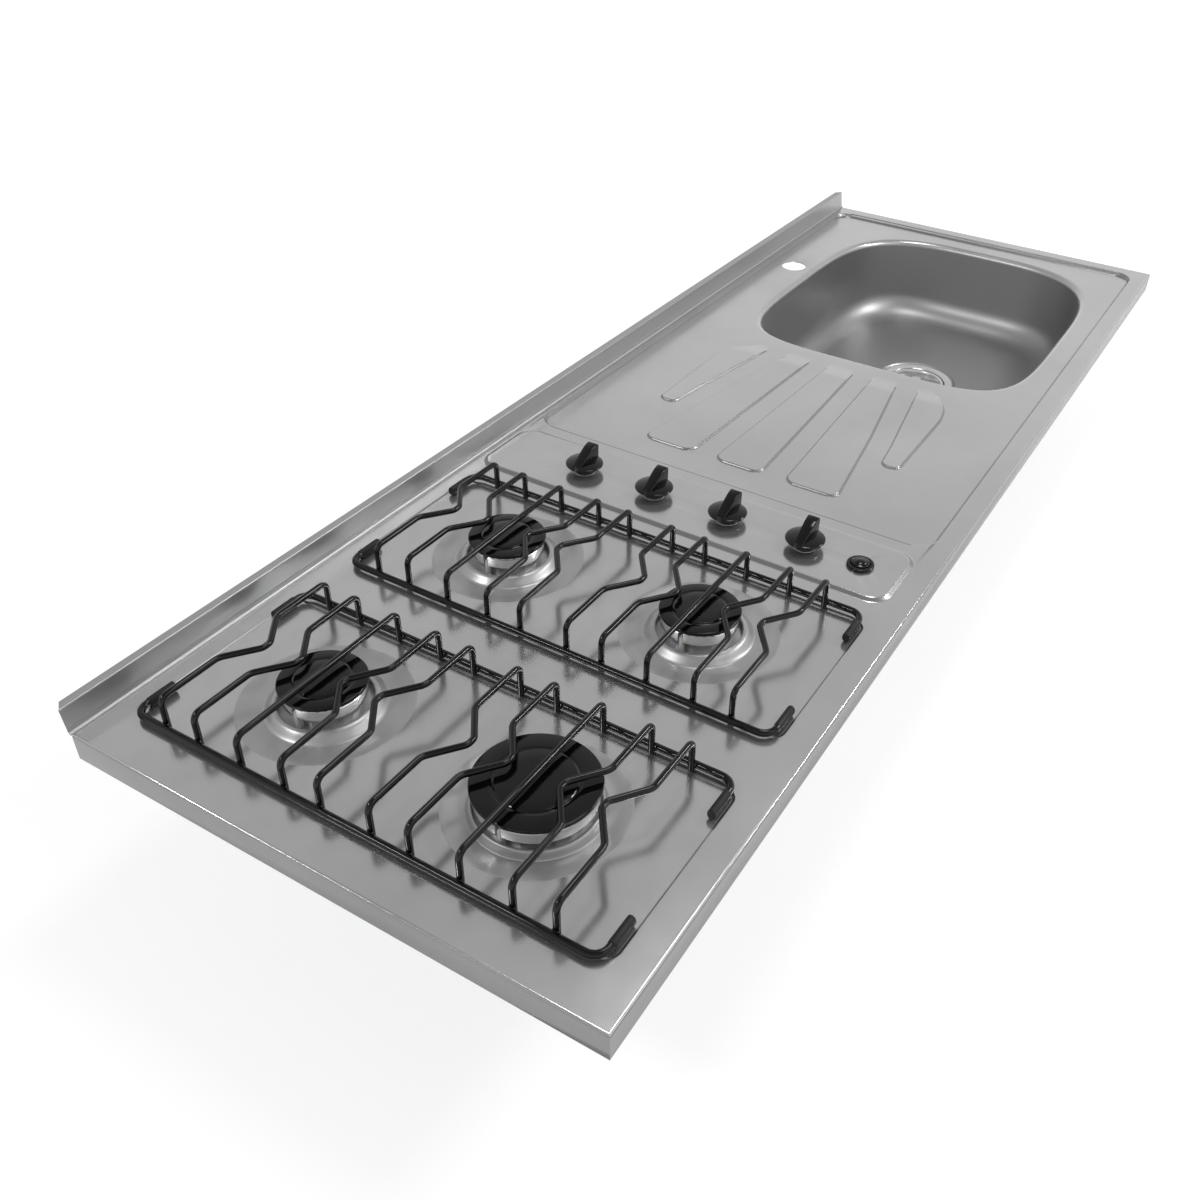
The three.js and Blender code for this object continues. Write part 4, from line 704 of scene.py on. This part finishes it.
Z_SPIGOT, Z_RING, Z_SLOTS, Z_RING_TOP = 30.0, 34.0, 43.6, 46.2
WALL, SPIGOT_WALL, EDGE = 12, 2.2, 0.3
SLOT_DEPTH, NOTCH, NOTCH_HALF = 2.2, 5.9, 2.9
for number, (x, y, ring, *_) in enumerate(BURNERS, 1):
    bore = ring - WALL
    sides = 120 if ring > 40 else 96
    bm = bmesh.new()
    profile = [(bore, Z_SPIGOT), (bore + SPIGOT_WALL, Z_SPIGOT), (bore + SPIGOT_WALL, Z_RING),
               (ring - 0.5, Z_RING), (ring, Z_RING + 0.5), (ring, Z_SLOTS), (ring - EDGE, Z_SLOTS + EDGE),
               (ring - EDGE, Z_RING_TOP - EDGE), (ring - 2 * EDGE, Z_RING_TOP), (bore, Z_RING_TOP),
               (bore, Z_SPIGOT)]
    spun(bm, profile, (x, y), sides)
    close_up(bm)
    slots = []
    for face in bm.faces:
        reach, height, step = place_round(face, x, y, sides)
        if Z_SLOTS + EDGE < height < Z_RING_TOP - EDGE and step % 3 == 0 and reach > ring - 1:
            slots.append(face)
    bmesh.ops.inset_individual(bm, faces=slots, thickness=0.2 * mm, depth=-SLOT_DEPTH * mm)
    cut(bm, block(x - ring - 1, x - ring + NOTCH, y - NOTCH_HALF, y + NOTCH_HALF,
                  Z_RING - 1, Z_RING_TOP + 1))
    new_piece(bm, f"burner_crown_{number}", f"ring_{number}", "aluminium", bright_aluminium,
              f"burner_ring_{number}")

# %% [markdown]
# Each ring is closed by an enamelled cap: a flat rim with rounded edges, a fine step and a slightly
# raised disc.

# %% Burner caps
Z_CAP_FOOT, Z_CAP, OVERHANG, CLEARANCE, DISC_SHARE = 41.2, 46.5, 2.4, 0.3, 0.645
for number, (x, y, ring, *_) in enumerate(BURNERS, 1):
    rim_radius = ring + OVERHANG
    disc = rim_radius * DISC_SHARE
    spigot = ring - WALL - CLEARANCE
    bm = bmesh.new()
    profile = [(0, Z_CAP_FOOT), (spigot, Z_CAP_FOOT), (spigot, Z_CAP), (rim_radius - 1.0, Z_CAP)]
    profile += arc(rim_radius - 0.7, Z_CAP + 0.7, 0.7, -80, 0, 3)
    profile += arc(rim_radius - 1.3, Z_CAP + 2.0, 1.3, 0, 82, 6)
    profile += [(disc + 4.0, Z_CAP + 3.45), (disc + 1.6, Z_CAP + 3.4), (disc + 1.0, Z_CAP + 3.15)]
    profile += [(disc + 0.5, Z_CAP + 3.15)] + swell((disc + 0.2, Z_CAP + 3.3), (disc - 1.4, Z_CAP + 4.2), 5)
    profile += [(disc * 0.6, Z_CAP + 4.35), (disc * 0.3, Z_CAP + 4.45), (0, Z_CAP + 4.5)]
    spun(bm, profile, (x, y), 96)
    new_piece(bm, f"enamel_cap_{number}", f"cap_{number}", "enamel", cap_enamel, f"burner_cap_{number}")

# %% [markdown]
# Beside each ring stands the spark electrode: a glazed ceramic rod with a small collar and a steel pin.

# %% Spark electrodes
ELECTRODE = [(0, 7), (1.9, 7), (2.5, 7.6), (2.5, 14.8), (3.6, 15.1), (4, 15.6), (4, 18.3), (3.6, 18.8),
             (2.5, 18.8), (2.5, 37.6), (2.2, 38.4), (0.7, 38.8), (0.7, 40.6), (0.4, 41), (0, 41)]
ELECTRODE_INSET = 3
for number, (x, y, ring, *_) in enumerate(BURNERS, 1):
    bm = bmesh.new()
    spun(bm, ELECTRODE, (x - ring + ELECTRODE_INSET, y), 24)
    new_piece(bm, f"ceramic_electrode_{number}", "worktop", "ceramic", ceramic, f"spark_electrode_{number}")

# %% [markdown]
# The pan supports are bent wire, welded and then enamelled. A wire is a curve along its route with a
# round bevel. Each bend is a short arc, and each weld gets a small bead where the enamel has filled the
# joint.

# %% Wire helpers
def rounded_route(corners, steps=6):
    """Points of a route in millimetres; a corner (x, y, z, radius) is rounded to that radius."""
    points = []
    for i, corner in enumerate(corners):
        here = Vector(corner[:3])
        radius = corner[3] if len(corner) > 3 else 0
        if not radius:
            points.append(here)
            continue
        arriving = (here - Vector(corners[i - 1][:3])).normalized()
        leaving = (Vector(corners[i + 1][:3]) - here).normalized()
        turn = arriving.angle(leaving)
        side = (leaving - arriving * leaving.dot(arriving)).normalized()
        start = here - arriving * radius * math.tan(turn / 2)
        for k in range(steps + 1):
            a = turn * k / steps
            points.append(start + arriving * radius * math.sin(a) + side * radius * (1 - math.cos(a)))
    return points


def wire(bm, points, radius, roundness=5):
    """Adds a round wire along the points to a bmesh."""
    curve = bpy.data.curves.new("wire", "CURVE")
    curve.dimensions = "3D"
    curve.bevel_depth = radius * mm
    curve.bevel_resolution = roundness
    curve.use_fill_caps = True
    spline = curve.splines.new("POLY")
    spline.points.add(len(points) - 1)
    for place, point in zip(spline.points, points):
        place.co = (*(point * mm), 1)
    carrier = bpy.data.objects.new("wire", curve)
    mesh = bpy.data.meshes.new_from_object(carrier)
    bm.from_mesh(mesh)
    bpy.data.objects.remove(carrier)
    bpy.data.curves.remove(curve)
    bpy.data.meshes.remove(mesh)


def weld_bead(bm, place, size):
    """A small flattened drop of enamel over a weld."""
    matrix = Matrix.Translation(Vector(place) * mm) @ Matrix.Diagonal((*(s * mm for s in size), 1))
    bmesh.ops.create_icosphere(bm, subdivisions=2, radius=1.0, matrix=matrix)

# %% [markdown]
# A support has two rails along its sides, whose ends turn inwards as short stubs, and ten bars across.
# The bar in the middle of each burner is straight, and the two on either side of it jog in towards the
# flame.

# %% Pan supports
Z_RAIL, Z_BAR, Z_BAR_FOOT = 30.2, 57.7, 27.4
RAIL_X, STUB_X, STUB_Y = 95, 57, (-473.5, -30.5)
BAR_X, BAR_ROWS = 90.8, (-81, -45, 0, 45, 81)
# How far a jog reaches in, and its outer and inner bends: their distance along the bar and their radius
JOG, OUTER_X, OUTER_BEND, INNER_X, INNER_BEND = 21, 32, 13, 4, 8
RAIL_RADIUS, BAR_RADIUS, RAIL_BEND, BAR_BEND = 3.2, 2.8, 12, 7
BEAD_X, BEAD_RISE, BEAD_SIZE = 92.4, 0.3, (3.4, 4.0, 3.2)
front, back = STUB_Y
for side, x in zip(("near", "far"), BURNER_X):
    bm = bmesh.new()
    for hand in (-1, 1):
        outer, inner = x + hand * RAIL_X, x + hand * STUB_X
        route = [(inner, front, Z_RAIL), (outer, front, Z_RAIL, RAIL_BEND),
                 (outer, back, Z_RAIL, RAIL_BEND), (inner, back, Z_RAIL)]
        wire(bm, rounded_route(route), RAIL_RADIUS)
    for row, offset in product(BURNER_Y, BAR_ROWS):
        y, jog = row + offset, []
        if offset:
            pulled = y - math.copysign(JOG, offset)
            jog = [(x - OUTER_X, y, Z_BAR, OUTER_BEND), (x - INNER_X, pulled, Z_BAR, INNER_BEND),
                   (x + INNER_X, pulled, Z_BAR, INNER_BEND), (x + OUTER_X, y, Z_BAR, OUTER_BEND)]
        first, last = x - BAR_X, x + BAR_X
        route = [(first, y, Z_BAR_FOOT), (first, y, Z_BAR, BAR_BEND), *jog,
                 (last, y, Z_BAR, BAR_BEND), (last, y, Z_BAR_FOOT)]
        wire(bm, rounded_route(route), BAR_RADIUS)
        for hand in (-1, 1):
            weld_bead(bm, (x + hand * BEAD_X, y, Z_RAIL + BEAD_RISE), BEAD_SIZE)
    join_points(bm, 0.002)
    link_piece(bm, f"wire_support_{side}", f"pan_support_{side}", "enamel", enamel, f"grate_{side}",
               sharp=50)

# %% [markdown]
# Rubber sleeves on the rails' stubs keep the supports from scratching the sheet. Each is a spun tube with
# a closed, rounded end, turned on its side and let down a little below, where it stands on the sheet.

# %% Rubber sleeves
SLEEVE, SLEEVE_X, SLEEVE_DROP, SLEEVE_WIDTH = 4.0, 55.2, 0.8, 0.92
for side, x in zip(("near", "far"), BURNER_X):
    bm = bmesh.new()
    for y in STUB_Y:
        for hand in (-1, 1):
            part = bmesh.new()
            profile = [(0, 0), (3.0, 0)] + arc(3.0, 1.0, 1.0, -90, 0, 4)[1:]
            profile += [(SLEEVE, 24.8), (3.9, 25.6), (3.5, 26), (3.3, 26), (3.3, 1.5), (0, 1.5)]
            spun(part, profile, (0, 0), 28)
            sideways = Matrix.Rotation(hand * math.pi / 2, 3, "Y")
            bmesh.ops.rotate(part, cent=(0, 0, 0), matrix=sideways, verts=part.verts)
            for v in part.verts:
                below = 1.0 - v.co.z / mm / SLEEVE
                v.co.z -= SLEEVE_DROP * mm * max(0.0, below)
                v.co.y *= SLEEVE_WIDTH
            place = ((x + hand * SLEEVE_X) * mm, y * mm, Z_RAIL * mm)
            bmesh.ops.translate(part, vec=place, verts=part.verts)
            absorb(bm, part)
    names = [f"grate_sleeve_{side}_{i}" for i in (1, 2, 3, 4)]
    new_piece(bm, f"rubber_sleeves_{side}", f"pan_support_{side}", "rubber", rubber, *names)

# %% [markdown]
# A knob is a shallow dome on a hub with a fin to grip. The dome, the hub and the bore for the tap's stem
# are one spun profile. The fin is its side view, extruded, narrowed towards its low end and softened with
# a bevel.

# %% Knobs
Z_KNOB, GRIP_HALF, GRIP_REACH, NARROWED = 31.3, 6.2, 18, 0.2
GRIP = [(-17.6, 4.5), (-17.8, 7.6), (-15.6, 9.4), (-6, 14.4), (0, 17.8), (8, 21.6), (14.5, 23.1),
        (17.3, 22.8), (18.5, 21.0), (18.2, 4.5)]
DOME = [(0, 13), (4.3, 13), (4.3, 0), (10.2, 0)] + arc(10.2, 0.8, 0.8, -90, -30, 3)[1:]
DOME += swell((11.4, 1.4), (18.4, 4.9), 5) + arc(18.6, 6.2, 1.4, -60, 76, 8)
DOME += [(17.2, 8.0), (14.5, 8.7), (10, 9.35), (5, 9.7), (4.8, 13.4), (0, 13.4)]
for number, y in enumerate(KNOB_Y, 1):
    bm = bmesh.new()
    spun(bm, DOME, (KNOB_X, y), 64)
    fin = bmesh.new()
    outline = [fin.verts.new(((KNOB_X + px) * mm, (y - GRIP_HALF) * mm, pz * mm)) for px, pz in GRIP]
    made = bmesh.ops.extrude_face_region(fin, geom=[fin.faces.new(outline)])["geom"]
    other_side = [g for g in made if isinstance(g, bmesh.types.BMVert)]
    bmesh.ops.translate(fin, vec=(0, 2 * GRIP_HALF * mm, 0), verts=other_side)
    bmesh.ops.recalc_face_normals(fin, faces=fin.faces)
    for v in fin.verts:
        along = (v.co.x / mm - KNOB_X + GRIP_REACH) / (2 * GRIP_REACH)
        v.co.y = (y + (v.co.y / mm - y) * (1 - NARROWED + NARROWED * along)) * mm
    corners = [e for e in fin.edges if e.calc_face_angle(0) > math.radians(30)]
    bmesh.ops.bevel(fin, geom=corners, offset=0.9 * mm, offset_type="OFFSET", segments=3, profile=0.5,
                    affect="EDGES", material=-1, clamp_overlap=True)
    absorb(bm, fin)
    bmesh.ops.translate(bm, vec=(0, 0, Z_KNOB * mm), verts=bm.verts)
    new_piece(bm, f"gloss_knob_{number}", f"knob_{number}", "black_plastic", knob_plastic, f"knob_{number}")

# %% [markdown]
# Under each knob a thin bright ring covers the tap's collar on the panel. It lies low, so that a pushed
# knob stays clear of it.

# %% Collars
COLLAR = [(4.6, 28.52), (4.6, 28.74), (10.9, 28.74), (11.5, 28.5), (11.6, 28.1), (11.1, 28.1),
          (11.05, 28.52), (4.6, 28.52)]
bm = bmesh.new()
for y in KNOB_Y:
    spun(bm, COLLAR, (KNOB_X, y), 48)
new_piece(bm, "tap_collars", "worktop", "steel", fitting_steel)

# %% [markdown]
# The ignition button sits in a rounded bezel. Its cap is a low dome with a fine ring pressed into it.

# %% Button
BEZEL = [(9.4, 14), (11, 14), (11, 28.15), (13.2, 28.15), (13.5, 28.5)] + arc(12.3, 29.8, 1.2, 0, 90, 5)
BEZEL += [(10.2, 30.95), (9.7, 30.6), (9.4, 30.0), (9.4, 14)]
BUTTON = [(0, 16.8), (9, 16.8), (9, 31.4)] + arc(8.2, 31.4, 0.8, 0, 75, 4)[1:]
BUTTON += [(6.4, 32.75), (5.9, 32.6), (5.4, 32.95), (3.4, 33.6), (1.6, 33.9), (0, 34.0)]
bm = bmesh.new()
spun(bm, BEZEL, (KNOB_X, BUTTON_Y), 56)
new_piece(bm, "bezel_ring", "worktop", "black_plastic", knob_plastic, "button_bezel")
bm = bmesh.new()
spun(bm, BUTTON, (KNOB_X, BUTTON_Y), 48)
new_piece(bm, "button_cap", "button", "black_plastic", knob_plastic, "ignition_button")

# %% [markdown]
# The waste fitting shows as bright rings on the bowl's floor: a flange with a rolled edge, and inside it
# a strainer basket with a handle in its middle. The slots are faces of the spun wall, deleted before the
# wall gets its thickness.

# %% Drain flange and basket
FLANGE = [(42.5, -99.2), (52, -99.2)] + arc(51.2, -98.5, 0.8, -60, 80, 4)
FLANGE += [(48.5, -97.75), (46.5, -98.3), (44.0, -98.35), (42.2, -98.6), (41, -99.6), (41, -135.7),
           (22, -135.7), (22, -137.2), (42.5, -137.2), (42.5, -99.2)]
BASKET = [(4.5, -134.0), (12, -134.4), (20, -134.4), (27.5, -134.2), (29.5, -132.4), (30.4, -127),
          (31.6, -119), (33, -111), (34.6, -102.6), (36, -100.2), (39.2, -99.6)]
HANDLE = [(0, -134.9), (4.6, -134.9), (4.6, -133.2), (3, -132.6), (3, -98.5), (6.4, -98.5), (7, -97.9),
          (7, -95.6), (6.2, -94.8), (0, -94.5)]
BASKET_SIDES, BASKET_WALL = 72, 0.9
bm = bmesh.new()
spun(bm, FLANGE, (BOWL_X, BOWL_Y), 96)
new_piece(bm, "drain_ring", "worktop", "steel", fitting_steel, "drain_flange")

bm = bmesh.new()
spun(bm, BASKET, (BOWL_X, BOWL_Y), BASKET_SIDES)
close_up(bm)
pierced = []
for face in bm.faces:
    reach, height, step = place_round(face, BOWL_X, BOWL_Y, BASKET_SIDES)
    in_wall = -127 < height < -111 and step % 3 == 0
    in_floor = 12 < reach < 27 and height < -134 and step % 4 == 0
    if in_wall or in_floor:
        pierced.append(face)
bmesh.ops.inset_individual(bm, faces=pierced, thickness=0.35 * mm, depth=0)
bmesh.ops.delete(bm, geom=pierced, context="FACES")
bmesh.ops.solidify(bm, geom=bm.faces[:], thickness=-BASKET_WALL * mm)
bmesh.ops.recalc_face_normals(bm, faces=bm.faces)
handle = bmesh.new()
spun(handle, HANDLE, (BOWL_X, BOWL_Y), 32)
close_up(handle)
absorb(bm, handle)
link_piece(bm, "waste_basket", "basket", "steel", fitting_steel, "strainer_basket")

# %% [markdown]
# The pieces under the sheet keep their CAD shape: channels, tray, cups, taps, pipes and the waste body.
# Each gets the finish that such a piece really has.

# %% Finishes of the CAD nodes
def dress(material, *names):
    for name in names:
        node = nodes[name]
        node.data.materials.clear()
        node.data.materials.append(material)


four = (1, 2, 3, 4)
dress(galvanised, "channel_front", "channel_rear", "channel_hob_end", "channel_sink_end", "hob_undertray")
dress(cast_aluminium, *(f"burner_cup_{i}" for i in four), *(f"feed_pipe_{i}" for i in four))
dress(brass, *(f"gas_tap_{i}" for i in four), "gas_inlet_elbow")
dress(bright_zinc, "gas_manifold")
dress(fitting_steel, *(f"tap_stem_{i}" for i in four))
dress(grey_plastic, "ignition_module", "drain_body")
dress(rubber, "drain_seal")
print("CAD nodes shown with a finish:", sum(1 for n in nodes.values() if not n.hide_render))

# %% [markdown]
# The studio is white: a floor, a world that the camera and the metal see as white, and soft lamps above.
# Only what the camera and glossy rays see is white. The light that falls on the object is kept lower, so
# that pale surfaces don't burn out. The floor glows a little more with distance, so that its far part
# meets the white of the world.

# %% Floor and world
floor_z = cad_low.z - 0.001
floor_mesh = bmesh.new()
bmesh.ops.create_grid(floor_mesh, x_segments=1, y_segments=1, size=12)
bmesh.ops.translate(floor_mesh, vec=(0, 0, floor_z), verts=floor_mesh.verts)
floor_data = bpy.data.meshes.new("floor")
floor_mesh.to_mesh(floor_data)
floor_mesh.free()
floor = bpy.data.objects.new("floor", floor_data)
scene.collection.objects.link(floor)


def seen_directly(tree):
    """1 for rays from the camera, from a mirror or through glass, and 0 for diffuse light."""
    light_path = tree.nodes.new("ShaderNodeLightPath")
    total = light_path.outputs["Is Camera Ray"]
    for ray in ("Is Glossy Ray", "Is Transmission Ray"):
        larger = tree.nodes.new("ShaderNodeMath")
        larger.operation = "MAXIMUM"
        tree.links.new(total, larger.inputs[0])
        tree.links.new(light_path.outputs[ray], larger.inputs[1])
        total = larger.outputs[0]
    return total


floor_finish, tree, shader = new_finish("floor_white", (0.5, 0.5, 0.5), 0.9)
shader.inputs["Emission Color"].default_value = (1, 1, 1, 1)
distance = tree.nodes.new("ShaderNodeVectorMath")
distance.operation = "LENGTH"
tree.links.new(object_space(tree), distance.inputs[0])
lift = tree.nodes.new("ShaderNodeMath")
lift.operation = "MULTIPLY"
tree.links.new(seen_directly(tree), lift.inputs[0])
GLOW_NEAR, GLOW_FAR = (0.9, 0.64), (2.6, 0.88)
glow = spread(tree, distance.outputs["Value"], GLOW_NEAR[0], GLOW_FAR[0], GLOW_NEAR[1], GLOW_FAR[1])
tree.links.new(glow, lift.inputs[1])
tree.links.new(lift.outputs[0], shader.inputs["Emission Strength"])
floor_data.materials.append(floor_finish)

world = bpy.data.worlds.new("studio")
scene.world = world
world.use_nodes = True
tree = world.node_tree
background = tree.nodes["Background"]
background.inputs["Color"].default_value = (0.42, 0.42, 0.42, 1)
seen = tree.nodes.new("ShaderNodeBackground")
sky = tree.nodes.new("ShaderNodeTexCoord")
up = tree.nodes.new("ShaderNodeSeparateXYZ")
tree.links.new(sky.outputs["Generated"], up.inputs["Vector"])
white, overhead_grey = (1, 1, 1), (0.34, 0.34, 0.34)
towards_zenith = spread(tree, up.outputs["Z"], 0.1, 1.0, 0, 1)
tree.links.new(between(tree, towards_zenith, white, overhead_grey), seen.inputs["Color"])
choose = tree.nodes.new("ShaderNodeMixShader")
tree.links.new(seen_directly(tree), choose.inputs["Fac"])
tree.links.new(background.outputs[0], choose.inputs[1])
tree.links.new(seen.outputs[0], choose.inputs[2])
tree.links.new(choose.outputs[0], tree.nodes["World Output"].inputs["Surface"])
print("floor at z", round(floor_z, 4))

# %% [markdown]
# Two large soft lamps give the even light. Two long, narrow ones stand where a round bar mirrors them to
# the camera: one draws the highlight lines along the bars, the other along the rails, and neither shows
# in the flats.

# %% Lamps
HOB_CENTRE = (-0.45, -0.25, 0)
# Place, aim, width and height in metres, watts
LAMPS = {
    "overhead": ((0.35, -0.3, 2.2), (0.35, -0.3, 0), 0.6, 0.5, 9),
    "front": ((-0.2, -2.3, 2.1), (-0.2, -0.3, 0), 1.6, 0.9, 7),
    "bar_lines": ((1.1, -1.65, 1.55), HOB_CENTRE, 0.9, 0.12, 18),
    "rail_lines": ((-2.05, 0.8, 1.8), HOB_CENTRE, 0.9, 0.12, 14),
}
for name, (place, aim, width, height, watts) in LAMPS.items():
    data = bpy.data.lights.new(name, "AREA")
    data.shape = "RECTANGLE"
    data.size, data.size_y = width, height
    data.energy = watts
    lamp = bpy.data.objects.new(name, data)
    lamp.location = place
    lamp.rotation_euler = (Vector(aim) - Vector(place)).to_track_quat("-Z", "Y").to_euler()
    scene.collection.objects.link(lamp)

# %% [markdown]
# The Standard view shows the tones as they are rendered, so white stays white. The dressed worktop must
# not be larger than its CAD model.

# %% View settings
scene.view_settings.view_transform = "Standard"
